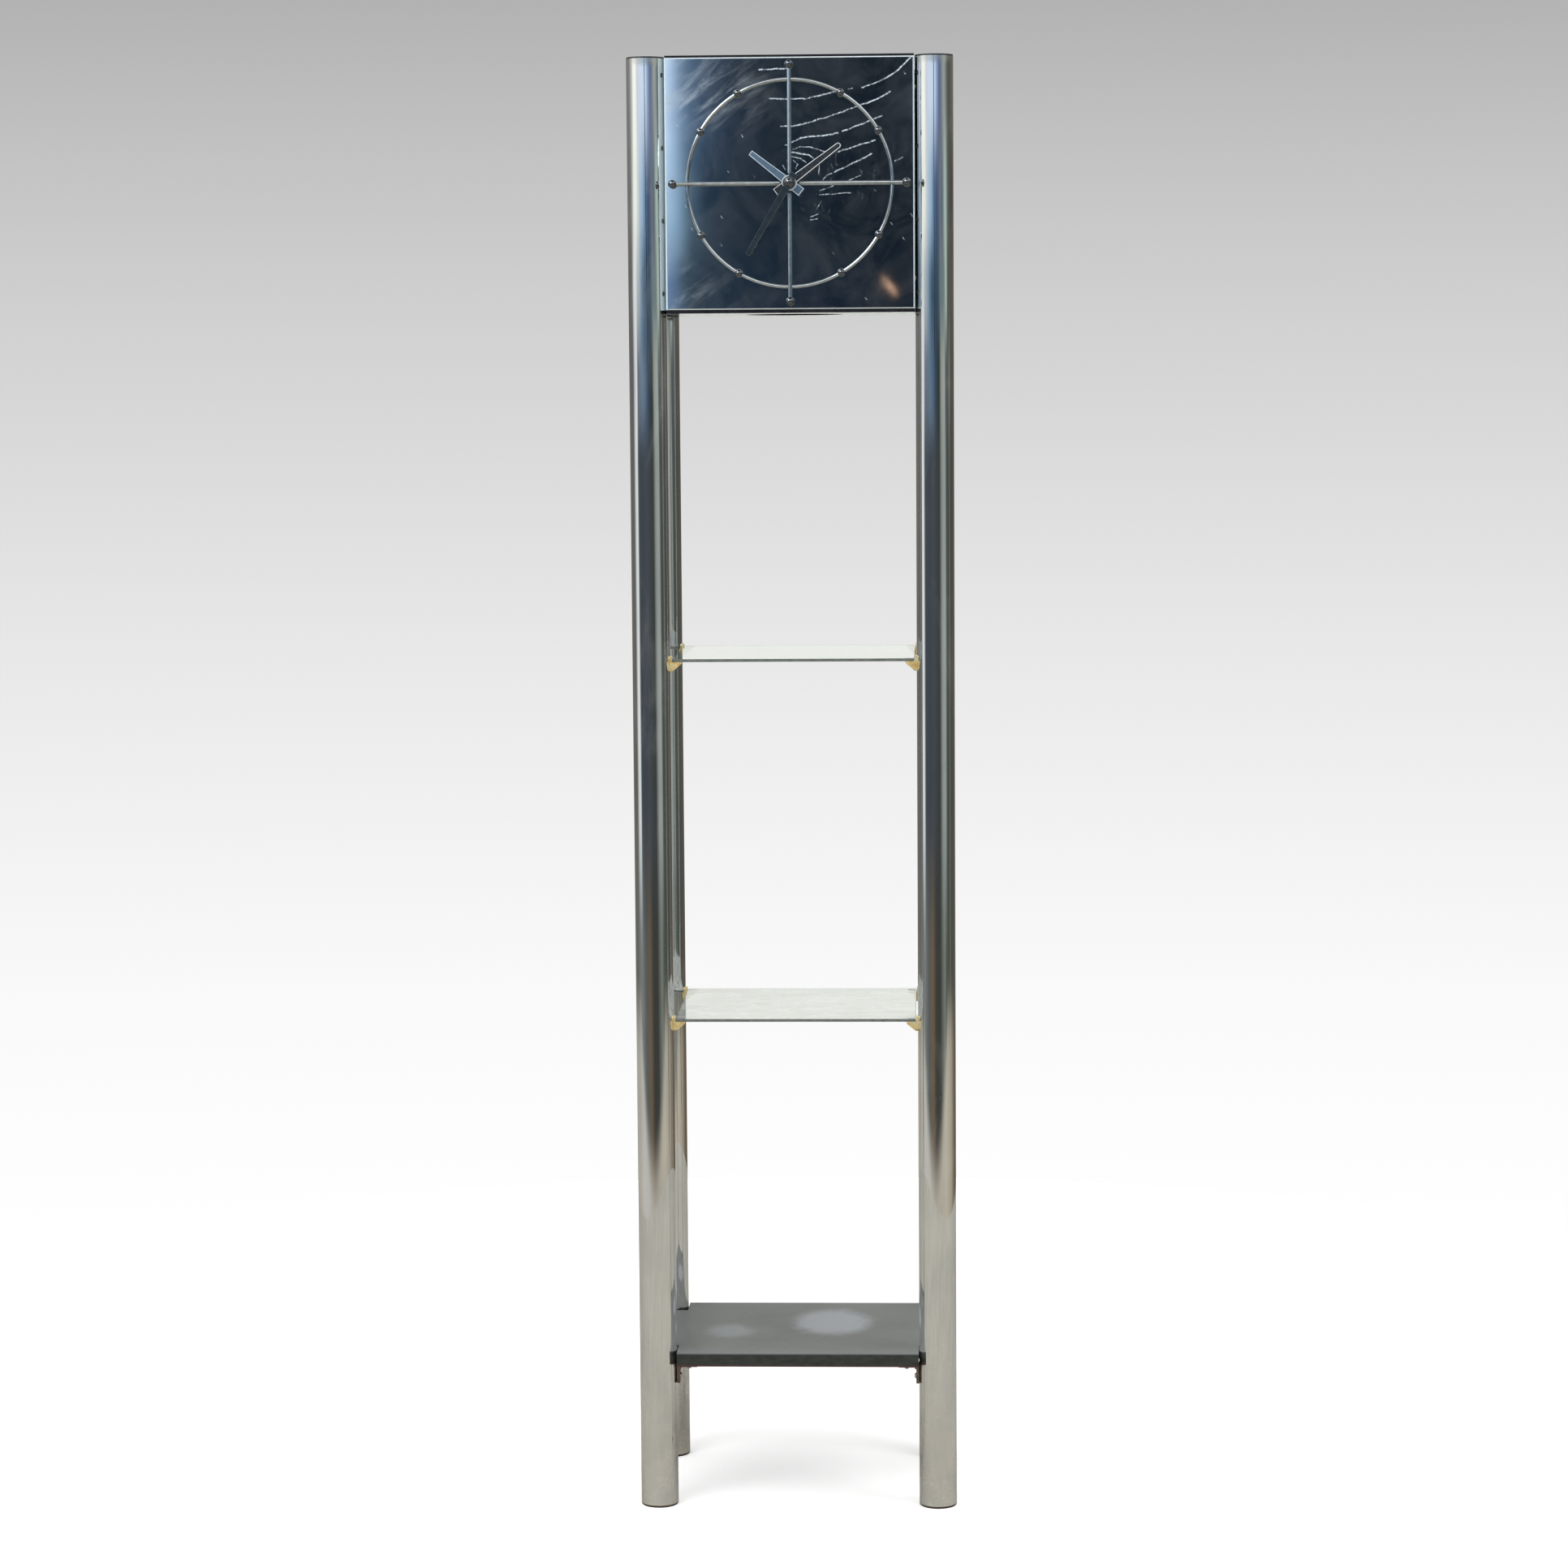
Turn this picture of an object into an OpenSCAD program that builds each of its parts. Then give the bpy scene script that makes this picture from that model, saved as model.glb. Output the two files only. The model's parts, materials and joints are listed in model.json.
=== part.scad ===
/* [Posts] */
// Length of each round post, foot plug and cap not counted
post_height = 1949.8; // [1700:0.1:2200]
// Outer diameter of the posts
post_d = 50.8; // [44:0.2:58]
// Wall thickness of the post tube
post_wall = 1.6; // [1.2:0.1:3]
// Distance between post centres, side to side
post_span_x = 381; // [350:1:440]
// Distance between post centres, front to rear
post_span_y = 254; // [220:1:300]
// Thickness of the cap rim that shows above each tube
cap_rim = 2; // [1:0.5:5]
// Height of the foot plug that shows below each tube
foot_rim = 3; // [2:0.5:10]
// How far caps and plugs reach into the tube
plug_depth = 16; // [8:1:30]

/* [Case] */
// Height of the polished face
face_height = 330.2; // [320:0.1:380]
// Distance from the front of the posts back to the face
face_setback = 7.4; // [3:0.1:14]
// Thickness of the polished sheet
sheet = 1.2; // [0.8:0.1:2]
// Depth of the folded returns of the front and rear trays
tray_return = 15; // [12:1:20]
// Outer radius of the folded edges
fold_radius = 1.8; // [1.4:0.1:3]
// Thickness of the black bottom panel
bottom_panel = 4.4; // [3:0.1:8]
// Thickness of the black lid panel
lid_panel = 2.6; // [2:0.1:6]
// How far the face's top edge stands above the tube ends
case_rise = 0.5; // [0:0.1:2]
// Gap between the case sides and the posts
case_gap = 0.2; // [0.1:0.05:1]
// Diameter of the access hole in the bottom panel
access_d = 131; // [100:1:180]
// Width of the corner battens, side to side
batten_x = 18; // [14:1:26]
// Depth of the corner battens, front to rear
batten_y = 32; // [28:1:40]
// Shank diameter of the bolts that join the case to the posts
bolt_d = 6; // [5:0.5:8]
// Distance of the post bolts from the ends of the case
bolt_inset = 40; // [25:1:80]

/* [Dial] */
// Distance from the rod-end balls out to the edges of the face
rod_margin = 10.5; // [8:0.1:16]
// Distance from the rod-end balls in to the hour ring
ring_inset = 19; // [14:0.5:30]
// Diameter of the ring's wire
ring_wire = 4.4; // [3:0.1:6]
// Diameter of the balls on the ring
ring_ball = 10.4; // [8:0.2:14]
// Gap between the ring's balls and the face
ball_gap = 0.1; // [0.1:0.05:1]
// Diameter of the four rods
rod_wire = 4.8; // [3:0.1:6]
// Diameter of the balls at the rod ends
rod_ball = 11.2; // [8:0.2:14]
// Distance from the dial centre to the inner ends of the rods
rod_start = 13; // [12:0.5:30]
// Diameter of the studs that hold ring and rods to the face
stud_d = 3; // [2:0.1:4]

/* [Hands] */
// Length of the hour hand from the dial centre
hour_length = 64.5; // [40:0.5:90]
// Length of the minute hand from the dial centre
minute_length = 83.8; // [60:0.5:120]
// Length of the sweep second hand from the dial centre
second_length = 109; // [80:0.5:125]
// Tail of the hour hand beyond the centre
hour_tail = 20; // [12:0.5:30]
// Tail of the minute hand beyond the centre
minute_tail = 22; // [12:0.5:30]
// Tail of the second hand beyond the centre
second_tail = 14; // [10:0.5:30]
// Angle of the hour hand, clockwise from twelve
hour_angle = 307.9; // [0:0.1:360]
// Angle of the minute hand, clockwise from twelve
minute_angle = 53.4; // [0:0.1:360]
// Angle of the second hand, clockwise from twelve
second_angle = 210.7; // [0:0.1:360]
// Width of the hands at their tips
tip_w = 7; // [4:0.2:9]
// Width of the hour and minute hands at their tails
tail_w = 12; // [9:0.2:16]
// Width of the second hand at its tail
second_w = 10; // [7:0.2:14]
// Thickness of the blades under their raised rims
blade = 0.8; // [0.5:0.1:1.2]
// Height of the raised rims round the blades
rim = 0.6; // [0.3:0.1:1]
// Width of the raised rims
rim_w = 0.9; // [0.6:0.1:1.4]
// Gap between one hand and the next in front of it
hand_gap = 1; // [0.6:0.1:2]
// Diameter of the ball that caps the hands
cap_ball = 12.6; // [10:0.2:16]

/* [Movement] */
// Half the width of the movement housing
mv_half_x = 34; // [34:0.5:40]
// Height of the housing above the dial axis
mv_top = 37; // [36:0.5:44]
// Wall thickness of the housing
mv_wall = 1.6; // [1.2:0.1:2]
// Distance from the dial axis to each arbor that meshes with it
train_r = 16.2; // [16:0.1:16.6]
// Face width of the wheels
wheel_t = 1.1; // [0.8:0.1:1.2]
// Diameter of the round cell
cell_d = 14.5; // [14:0.1:15]
// Length of the round cell
cell_l = 50.5; // [48:0.5:52]
// Diameter of the time-setting knob
knob_d = 13; // [10:0.5:16]
// Outer diameter of the threaded bush through the face
bush_d = 10; // [9.6:0.2:12]

/* [Shelves] */
// Thickness of the glass shelves
glass_t = 4; // [3:0.5:8]
// Depth of the glass shelves, front to rear
glass_depth = 266.6; // [240:0.2:290]
// Height of the upper glass surface above the floor
upper_shelf_z = 1159.4; // [1000:0.1:1400]
// Height of the lower glass surface above the floor
lower_shelf_z = 672; // [450:0.1:900]
// Height of the base shelf's top above the floor
base_top_z = 214.5; // [120:0.1:320]
// Thickness of the base shelf
base_t = 18.3; // [12:0.1:25]
// Depth of the base shelf, front to rear
base_depth = 297.4; // [260:0.2:304]
// How far the base shelf reaches out between the front and rear posts
base_ear = 25.4; // [18:0.1:50]
// Gap between shelf ends and what stands beside them
end_gap = 0.6; // [0.3:0.1:2]
// How far the clip arms reach in from the posts
clip_reach = 15.2; // [12:0.1:22]
// Height of the clip flange below the glass
clip_drop = 13.2; // [11:0.1:18]
// Thickness of the clip flange against the post
clip_flange = 2.5; // [1.5:0.1:4]
// Width of the clip flange, front to rear
clip_w = 14; // [12:0.5:20]
// Diameter of the peg that plugs the clip into the post
peg_d = 5; // [4:0.1:7]
// Length of the bracket leg under the base shelf
bracket_leg = 28; // [22:1:40]
// Length of the bracket leg down the post
bracket_drop = 26; // [20:1:36]
// Thickness of the brackets
bracket_t = 4; // [2:0.5:6]
// Width of the brackets, front to rear
bracket_w = 18; // [12:1:26]

/* [Hidden] */
$fn = 64;
half_turn = 180;

// Posts, their places and their tops
post_r = post_d / 2;
post_bore_r = post_r - post_wall;
post_x = post_span_x / 2;
post_y = post_span_y / 2;
tube_z0 = foot_rim;
tube_z1 = tube_z0 + post_height;
plug_play = 0.1;
rim_setin = 0.3;
flank_x = post_x - post_r;
corners = [[-1, -1], [1, -1], [-1, 1], [1, 1]];

// Case planes, measured from the middle between the posts
case_x = flank_x - case_gap;
face_y = post_y + post_r - face_setback;
face_z1 = tube_z1 + case_rise;
face_z0 = face_z1 - face_height;
dial_z = face_z0 + face_height / 2;
panel_setin = 0.5;
side_y = face_y - tray_return;
flange_w = 12;

// Fasteners of the case
insert_r = bolt_d / 2 + 1.5;
insert_l = 14;
bolt_head = 4;
bolt_play = 0.2;
screw_r = 1.6;
screw_head_r = 3.2;
screw_head_t = 1.1;
screw_l = 14;
recess_t = 0.8;
recess_w = 0.8;
bolt_zs = [face_z0 + bolt_inset, face_z1 - bolt_inset];

// Reach of the upright and the level rods, and radius of the hour ring between them
rod_up = face_height / 2 - rod_margin;
rod_across = case_x - rod_margin;
ring_radius = min(rod_up, rod_across) - ring_inset;
function rod_reach(a) = a % half_turn == 0 ? rod_up : rod_across;

// Layers of the dial, as distances in front of the face
ring_t = ring_ball / 2 + ball_gap;
rod_t = ring_t + ring_wire / 2 + rod_wire / 2;
hour_hub = 10.4;
minute_hub = 9.4;
second_hub = 8.4;
hour_t = rod_t + rod_wire / 2 + hand_gap;
minute_t = hour_t + blade + rim + hand_gap;
second_t = minute_t + blade + rim + hand_gap;
cap_t = second_t + blade + rim;
cap_stem = 1.6;
front_t = cap_t + cap_stem + cap_ball * 0.9;

// The part stands with its origin at the bottom middle of its outer box
centre_y = (face_y + front_t - post_y - post_r) / 2;

// Gear train: tooth counts, and modules that follow the arbor distances
rotor_teeth = 8;
intermediate_teeth = 48;
intermediate_pinion = 10;
seconds_teeth = 50;
seconds_pinion = 8;
third_teeth = 64;
third_pinion = 8;
minute_teeth = 60;
cannon_teeth = 12;
motion_teeth = 36;
motion_pinion = 12;
hour_teeth = 48;
setting_teeth = 12;
rotor_r = 11.2;
rotor_module = 2 * rotor_r / (rotor_teeth + intermediate_teeth);
drive_module = 2 * train_r / (intermediate_pinion + seconds_teeth);
third_module = 2 * train_r / (seconds_pinion + third_teeth);
minute_module = 2 * train_r / (third_pinion + minute_teeth);
cannon_module = 2 * train_r / (cannon_teeth + motion_teeth);
hour_module = 2 * train_r / (motion_pinion + hour_teeth);
setting_r = cannon_module * (motion_teeth + setting_teeth) / 2;

// Directions between arbors, clockwise from twelve as seen from the front
setting_swing = 50;
third_dir = 90;
intermediate_dir = 300;
motion_dir = 200;
rotor_dir = 0;
setting_dir = motion_dir + setting_swing;
function polar(r, a) = [r * sin(a), r * cos(a)];
third_at = polar(train_r, third_dir);
intermediate_at = polar(train_r, intermediate_dir);
motion_at = polar(train_r, motion_dir);
rotor_at = intermediate_at + polar(rotor_r, rotor_dir);
setting_at = motion_at + polar(setting_r, setting_dir);

// Tooth form: addendum, dedendum and slimness that keep a little backlash
tooth_add = 0.8;
tooth_ded = 1.25;
tooth_tip = 0.5;
tooth_root = 1.35;
wheel_slim = 0.52;
pinion_slim = 0.48;

// Arbors, tubes and their running fits
fit = 0.05;
arbor_r = 0.6;
seconds_r = 1;
minute_bore = seconds_r + fit;
minute_r = 2.1;
hour_bore = minute_r + fit;
hour_r = 3.1;
bush_bore = hour_r + fit;
pivot_depth = 0.8;
setting_arbor_r = 1.2;

// Layers of the movement, as distances behind its front face
gasket_t = 1;
mv_y = sheet + gasket_t;
layer = 2.3;
hour_layer = mv_wall + 0.8;
cannon_layer = hour_layer + layer;
minute_layer = cannon_layer + layer;
third_layer = minute_layer + layer;
seconds_layer = third_layer + layer;
drive_layer = seconds_layer + layer;
rotor_layer = drive_layer + layer;
magnet_l = 4;
pinion_extra = 0.3;
mv_back = rotor_layer + magnet_l + 2.2;
mv_depth = mv_back + mv_wall;
split = mv_depth / 2;
nut_t = 3;
washer_t = 1;
bush_t = washer_t + nut_t + 2.5;

// Housing of the movement and what stands in it
gear_bay_z = motion_at[1] - cannon_module * (motion_teeth / 2 + 1) - 1;
cell_play = 0.8;
cell_z = gear_bay_z - mv_wall - cell_play - cell_d / 2;
mv_bottom = cell_z - cell_d / 2 - cell_play - mv_wall;
cell_t = mv_wall + 0.4 + cell_d / 2;
bay_depth = cell_t + cell_d / 2 - 1;
bay_gap = 0.3;
mv_round = 3;
boss_r = 3;
boss_sink = 0.8;
boss_x = mv_half_x - mv_wall - boss_r + boss_sink;
boss_zs = [mv_top - mv_wall - boss_r + boss_sink, gear_bay_z + boss_r - boss_sink];
mv_screw_r = 1.1;
mv_head_t = 1.5;
magnet_r = 3;
magnet_gap = 0.4;
stator_t = 1.5;
core_h = 3;
stator_arm = 7;
coil_r = 3.4;
coil_flange_r = 3.8;
coil_z = rotor_at[1] + stator_arm / 2 + coil_flange_r + 1.4;
stator_x0 = rotor_at[0] - 6;
stator_x1 = 24;
stator_leg = 5;

// Shelves and clips; the clips stand under the corners of the glass, their backs round the posts
clip_peg_z = -4;
clip_rise = 4;
clip_proud = 0.7;
clip_y = glass_depth / 2 + clip_proud - clip_w / 2;
clip_off = clip_y - post_y;
function tube_sag(d) = post_r - sqrt(max(0, post_r * post_r - d * d));
clip_wrap = tube_sag(abs(clip_off) + clip_w / 2);
peg_l = 9 + tube_sag(clip_off);
peg_cut = post_wall * 2 + tube_sag(clip_off);
glass_x = flank_x - clip_flange - end_gap;
base_x = flank_x - end_gap;
base_end_x = flank_x + base_ear;
ear_y = post_y - post_r - end_gap;
notch_w = base_ear + end_gap + 1;
notch_d = base_depth / 2 - ear_y + 1;
arris = 1;
glass_ease = 0.5;
bracket_screw_z = 17;
bracket_screw_r = 2.2;
board_screw_r = 1.8;
board_screw_l = 9;
pan_r = 4;
pan_t = 2.2;

module centred() {
  translate([0, centre_y, 0]) children();
}

// Extrudes a drawing seen from the front, from depth y0 back to depth y1
module along_y(y0, y1) {
  translate([0, y1, 0]) rotate([90, 0, 0]) linear_extrude(y1 - y0) children();
}

// A rod along X from x0 to x1
module bar_x(x0, x1, r) {
  translate([x0, 0, 0]) rotate([0, 90, 0]) cylinder(r = r, h = x1 - x0);
}

// A round bar along Y, at a place seen from the front
module bar_y(at, y0, y1, r) {
  translate([at[0], y1, at[1]]) rotate([90, 0, 0]) cylinder(r = r, h = y1 - y0);
}

module rounded(w, h, r) {
  square([w - 2 * r, h], center = true);
  square([w, h - 2 * r], center = true);
  for (x = [-1, 1], y = [-1, 1]) translate([x * (w / 2 - r), y * (h / 2 - r)]) circle(r = r);
}

// One tube, side is -1 at the left and 1 at the right; its inner flank takes pegs, bolts and a screw
module post(side, row) {
  color([0.86, 0.88, 0.9])
  difference() {
    translate([side * post_x, row * post_y, tube_z0]) cylinder(r = post_r, h = post_height, $fn = 96);
    translate([side * post_x, row * post_y, tube_z0 - 1])
      cylinder(r = post_bore_r, h = post_height + 2, $fn = 96);
    for (z = [upper_shelf_z, lower_shelf_z]) {
      translate([side * flank_x, row * clip_y, z - glass_t + clip_peg_z])
        bar_x(-peg_cut, peg_cut, peg_d / 2 + bolt_play);
    }
    for (z = bolt_zs) {
      translate([side * flank_x, row * post_y, z]) bar_x(-post_wall * 2, post_wall * 2, insert_r + fit);
    }
    translate([side * flank_x, row * post_y, base_top_z - base_t - bracket_screw_z])
      bar_x(-post_wall * 2, post_wall * 2, bracket_screw_r);
  }
}

module post_caps() {
  color([0.12, 0.12, 0.13])
  for (c = corners) translate([c[0] * post_x, c[1] * post_y, tube_z1]) {
    cylinder(r = post_r - rim_setin, h = cap_rim, $fn = 96);
    difference() {
      translate([0, 0, -plug_depth]) cylinder(r = post_bore_r - plug_play, h = plug_depth, $fn = 96);
      translate([0, 0, -plug_depth - 1]) cylinder(r = post_bore_r - plug_play - 2, h = plug_depth, $fn = 96);
    }
  }
}

module foot_plugs() {
  color([0.2, 0.13, 0.09])
  for (c = corners) translate([c[0] * post_x, c[1] * post_y, 0]) {
    rotate_extrude($fn = 96)
      polygon([[0, 0], [post_r - rim_setin - arris, 0], [post_r - rim_setin, arris],
        [post_r - rim_setin, foot_rim], [post_bore_r - plug_play, foot_rim],
        [post_bore_r - plug_play, foot_rim + plug_depth], [post_bore_r - plug_play - 2, foot_rim + plug_depth],
        [post_bore_r - plug_play - 2, foot_rim], [0, foot_rim]]);
  }
}

// Outline of a tray seen from above: a flat face with two round folds and its returns
module tray_section() {
  w = case_x;
  difference() {
    union() {
      translate([-w, fold_radius]) square([2 * w, tray_return - fold_radius]);
      translate([-w + fold_radius, 0]) square([2 * (w - fold_radius), tray_return]);
      for (s = [-1, 1]) translate([s * (w - fold_radius), fold_radius]) circle(r = fold_radius);
    }
    translate([-w + sheet, sheet]) square([2 * (w - sheet), tray_return]);
  }
}

// A folded tray whose face looks toward -Y, with top and bottom returns as well
module tray() {
  difference() {
    translate([0, -face_y, face_z0]) linear_extrude(face_height) tray_section();
    for (z = [face_z0, face_z1]) translate([-case_x - 1, -face_y, z]) rotate([0, 90, 0])
      linear_extrude(2 * case_x + 2) difference() {
        square(2 * fold_radius, center = true);
        for (s = [-1, 1]) translate([s * fold_radius, fold_radius]) circle(r = fold_radius);
      }
  }
  for (z = [face_z0, face_z1 - sheet])
    translate([-case_x + sheet, -face_y + fold_radius, z])
      cube([2 * (case_x - sheet), tray_return - fold_radius, sheet]);
}

// Countersunk holes and screws through the case sides into the battens
screw_inset = 22;
screw_zs = [for (k = [0:3]) face_z0 + screw_inset + k * (face_height - 2 * screw_inset) / 3];
screw_rows = [face_y - tray_return / 2, side_y - 6];
module panel_screw_shape(play) {
  bar_x(-screw_l, 0, screw_r + play);
  if (play > 0) bar_x(-play / 2, 1, screw_head_r + play);
  translate([-screw_head_t, 0, 0]) rotate([0, 90, 0])
    cylinder(r1 = screw_r + play, r2 = screw_head_r + play, h = screw_head_t);
}
module at_panel_screws(sides, rows) {
  for (s = sides, e = [-1, 1], y = rows, z = screw_zs)
    translate([s * case_x, e * y, z]) rotate([0, 0, s > 0 ? 0 : half_turn]) children();
}

module panel_screws() {
  color([0.55, 0.55, 0.55]) at_panel_screws([-1, 1], screw_rows) difference() {
    panel_screw_shape(0);
    cross_x(screw_head_r * 1.2);
  }
}

// Cross recess in a screw head whose top looks toward +X
module cross_x(size) {
  cube([recess_t * 2, size, recess_w], center = true);
  cube([recess_t * 2, recess_w, size], center = true);
}

module face_plate() {
  color([0.3, 0.38, 0.5])
  difference() {
    tray();
    bar_y([0, dial_z], -face_y - 1, -face_y + sheet + 1, bush_d / 2 + bolt_play);
    for (a = stud_angles) at_dial_angle(stud_radius(a), a)
      bar_y([0, 0], -1, sheet + 1, stud_d / 2 + bolt_play / 2);
    at_panel_screws([-1, 1], [screw_rows[0]]) panel_screw_shape(bolt_play / 2);
  }
}

module rear_panel() {
  color([0.7, 0.73, 0.77])
  difference() {
    rotate([0, 0, half_turn]) tray();
    at_panel_screws([-1, 1], [screw_rows[0]]) panel_screw_shape(bolt_play / 2);
  }
}

// A side sheet with top and bottom flanges, drilled for the post bolts
module side_panel(side) {
  color([0.72, 0.75, 0.8])
  difference() {
    translate([0, side_y, 0]) rotate([90, 0, 0]) linear_extrude(2 * side_y)
      polygon([for (p = [[0, 0], [0, face_height], [-flange_w, face_height], [-flange_w, face_height - sheet],
        [-sheet, face_height - sheet], [-sheet, sheet], [-flange_w, sheet], [-flange_w, 0]])
        [side * (case_x + p[0]), face_z0 + p[1]]]);
    for (e = [-1, 1], z = bolt_zs) translate([side * case_x, e * post_y, z])
      bar_x(-2 * sheet, 2 * sheet, bolt_d / 2 + bolt_play);
    at_panel_screws([side], [screw_rows[1]]) panel_screw_shape(bolt_play / 2);
  }
}

module top_lid() {
  color([0.04, 0.04, 0.045])
  translate([0, 0, face_z1]) linear_extrude(lid_panel)
    rounded(2 * (case_x - panel_setin), 2 * (face_y - panel_setin), fold_radius);
}

module bottom_panel() {
  color([0.05, 0.05, 0.055])
  translate([0, 0, face_z0 - bottom_panel]) linear_extrude(bottom_panel) difference() {
    rounded(2 * (case_x - panel_setin), 2 * (face_y - panel_setin), fold_radius);
    circle(r = access_d / 2, $fn = 96);
  }
}

module corner_battens() {
  color([0.72, 0.58, 0.4])
  difference() {
    for (c = corners) translate([c[0] * (case_x - sheet - batten_x / 2), c[1] * (face_y - sheet - batten_y / 2),
      face_z0 + sheet + face_height / 2 - sheet])
      cube([batten_x, batten_y, face_height - 2 * sheet], center = true);
    for (s = [-1, 1], e = [-1, 1], z = bolt_zs) translate([s * case_x, e * post_y, z])
      bar_x(-2 * batten_x, 2 * batten_x, bolt_d / 2 + bolt_play);
    at_panel_screws([-1, 1], screw_rows) bar_x(-screw_l - 1, 0, screw_r);
    for (a = [90, 270]) at_dial_angle(rod_across, a) bar_y([0, 0], 0, stud_tail + 1, stud_d / 2 + fit);
  }
}

// Hexagon bolts from inside the case, through batten and side sheet, into the posts
bolt_x0 = case_x - sheet - batten_x;
bolt_x1 = flank_x + insert_l - 1;
module case_bolts() {
  color([0.75, 0.76, 0.78])
  for (s = [-1, 1], e = [-1, 1], z = bolt_zs)
    translate([0, e * post_y, z]) rotate([0, 0, s > 0 ? 0 : half_turn]) {
      bar_x(bolt_x0, bolt_x1, bolt_d / 2);
      translate([bolt_x0 - bolt_head, 0, 0]) rotate([0, 90, 0])
        cylinder(r = bolt_d * 0.96, h = bolt_head, $fn = 6);
    }
}

module bolt_inserts() {
  color([0.8, 0.74, 0.5])
  for (s = [-1, 1], e = [-1, 1], z = bolt_zs)
    translate([s * flank_x, e * post_y, z]) rotate([0, 0, s > 0 ? 0 : half_turn]) difference() {
      bar_x(0, insert_l, insert_r);
      bar_x(-1, insert_l + 1, bolt_d / 2);
    }
}

// Hour ring: balls stand at every hour but the four that the rods mark
ball_angles = [for (h = [0:11]) if (h % 3 != 0) 30 * h];
stud_angles = [30, 150, 210, 330, 0, 90, 180, 270];
function stud_radius(a) = a % 90 == 0 ? rod_reach(a) : ring_radius;
stud_tail = 7;
nut_h = 2.4;

module at_dial_angle(r, a) {
  translate([r * sin(a), -face_y, dial_z + r * cos(a)]) children();
}

module dial_ring() {
  color([0.6, 0.62, 0.6]) {
    translate([0, -face_y - ring_t, dial_z]) rotate([90, 0, 0])
      rotate_extrude($fn = 180) translate([ring_radius, 0]) circle(r = ring_wire / 2, $fn = 24);
    for (a = ball_angles) at_dial_angle(ring_radius, a) translate([0, -ring_t, 0]) rotate([0, a + 90, 0])
      sphere(r = ring_ball / 2, $fn = 32);
    for (a = stud_angles) if (a % 90 != 0) at_dial_angle(ring_radius, a)
      bar_y([0, 0], -ring_t, stud_tail, stud_d / 2);
  }
}

module dial_rods() {
  color([0.6, 0.62, 0.6])
  for (a = [0:90:270]) {
    translate([0, -face_y - rod_t, dial_z]) rotate([0, a, 0]) translate([0, 0, rod_start])
      cylinder(r = rod_wire / 2, h = rod_reach(a) - rod_start);
    at_dial_angle(rod_reach(a), a) {
      translate([0, -rod_t, 0]) sphere(r = rod_ball / 2, $fn = 32);
      bar_y([0, 0], -rod_t, stud_tail, stud_d / 2);
    }
  }
}

// Nuts on the studs, but for the two whose studs go into the battens
module dial_nuts() {
  color([0.78, 0.66, 0.36])
  for (a = stud_angles) if (a != 90 && a != 270) at_dial_angle(stud_radius(a), a) difference() {
    translate([0, sheet + nut_h, 0]) rotate([90, 0, 0]) cylinder(r = stud_d, h = nut_h, $fn = 6);
    bar_y([0, 0], 0, sheet + nut_h + 1, stud_d / 2 + fit);
  }
}

// Outline of a hand pointing to twelve, drawn in from its edge by inset
module hand_outline(length, tail, tip_width, tail_width, round_tip, inset) {
  top = length - inset - (round_tip ? tip_width / 2 - inset : 0);
  tip = tip_width / 2 - inset;
  end = tail_width / 2 - inset;
  polygon([[-end, inset - tail], [end, inset - tail], [tip, top], [-tip, top]]);
  if (round_tip) translate([0, top]) circle(r = tip);
}

// A blade with a raised rim and a round hub, its back at distance t in front of the face
module hand(length, tail, tip_width, tail_width, round_tip, angle, t, hub, bore) {
  translate([0, -face_y - t, dial_z]) rotate([0, angle, 0]) difference() {
    union() {
      along_y(-blade, 0) hand_outline(length, tail, tip_width, tail_width, round_tip, 0);
      along_y(-blade - rim, -blade) difference() {
        hand_outline(length, tail, tip_width, tail_width, round_tip, 0);
        hand_outline(length, tail, tip_width, tail_width, round_tip, rim_w);
      }
      bar_y([0, 0], -blade - rim, 0, hub);
    }
    bar_y([0, 0], -blade - rim - 1, 1, bore);
  }
}

module hour_hand() {
  color([0.35, 0.48, 0.62])
    hand(hour_length, hour_tail, tip_w, tail_w, false, hour_angle, hour_t, hour_hub, hour_r);
}
module minute_hand() {
  color([0.3, 0.33, 0.38])
    hand(minute_length, minute_tail, tip_w, tail_w, true, minute_angle, minute_t, minute_hub, minute_r);
}
module second_hand() {
  color([0.2, 0.25, 0.3])
    hand(second_length, second_tail, tip_w, second_w, false, second_angle, second_t, second_hub, seconds_r);
}

// Ball on a short stem that closes the stack of hands
module hand_cap() {
  color([0.15, 0.15, 0.17])
  translate([0, -face_y - cap_t, dial_z]) rotate([90, 0, 0]) difference() {
    union() {
      cylinder(r = 3.4, h = cap_stem + cap_ball * 0.2);
      translate([0, 0, cap_stem + cap_ball * 0.4]) sphere(r = cap_ball / 2, $fn = 48);
    }
    translate([0, 0, -cap_ball]) cylinder(r = cap_ball, h = cap_ball);
    translate([0, 0, -1]) cylinder(r = seconds_r, h = cap_stem + 1);
  }
}

// Moves a drawing to the movement's own frame: dial axis at 0, depth from its front face
module in_movement() {
  translate([0, -face_y + mv_y, dial_z]) children();
}

module movement_gasket() {
  color([0.08, 0.08, 0.08]) in_movement() difference() {
    bar_y([0, 0], -gasket_t, 0, bush_d / 2 + 7);
    bar_y([0, 0], -gasket_t - 1, 1, bush_d / 2 + bolt_play);
  }
}

module movement_washer() {
  color([0.85, 0.8, 0.6]) difference() {
    bar_y([0, dial_z], -face_y - washer_t, -face_y, bush_d / 2 + 4.5);
    bar_y([0, dial_z], -face_y - washer_t - 1, -face_y + 1, bush_d / 2 + bolt_play);
  }
}

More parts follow.
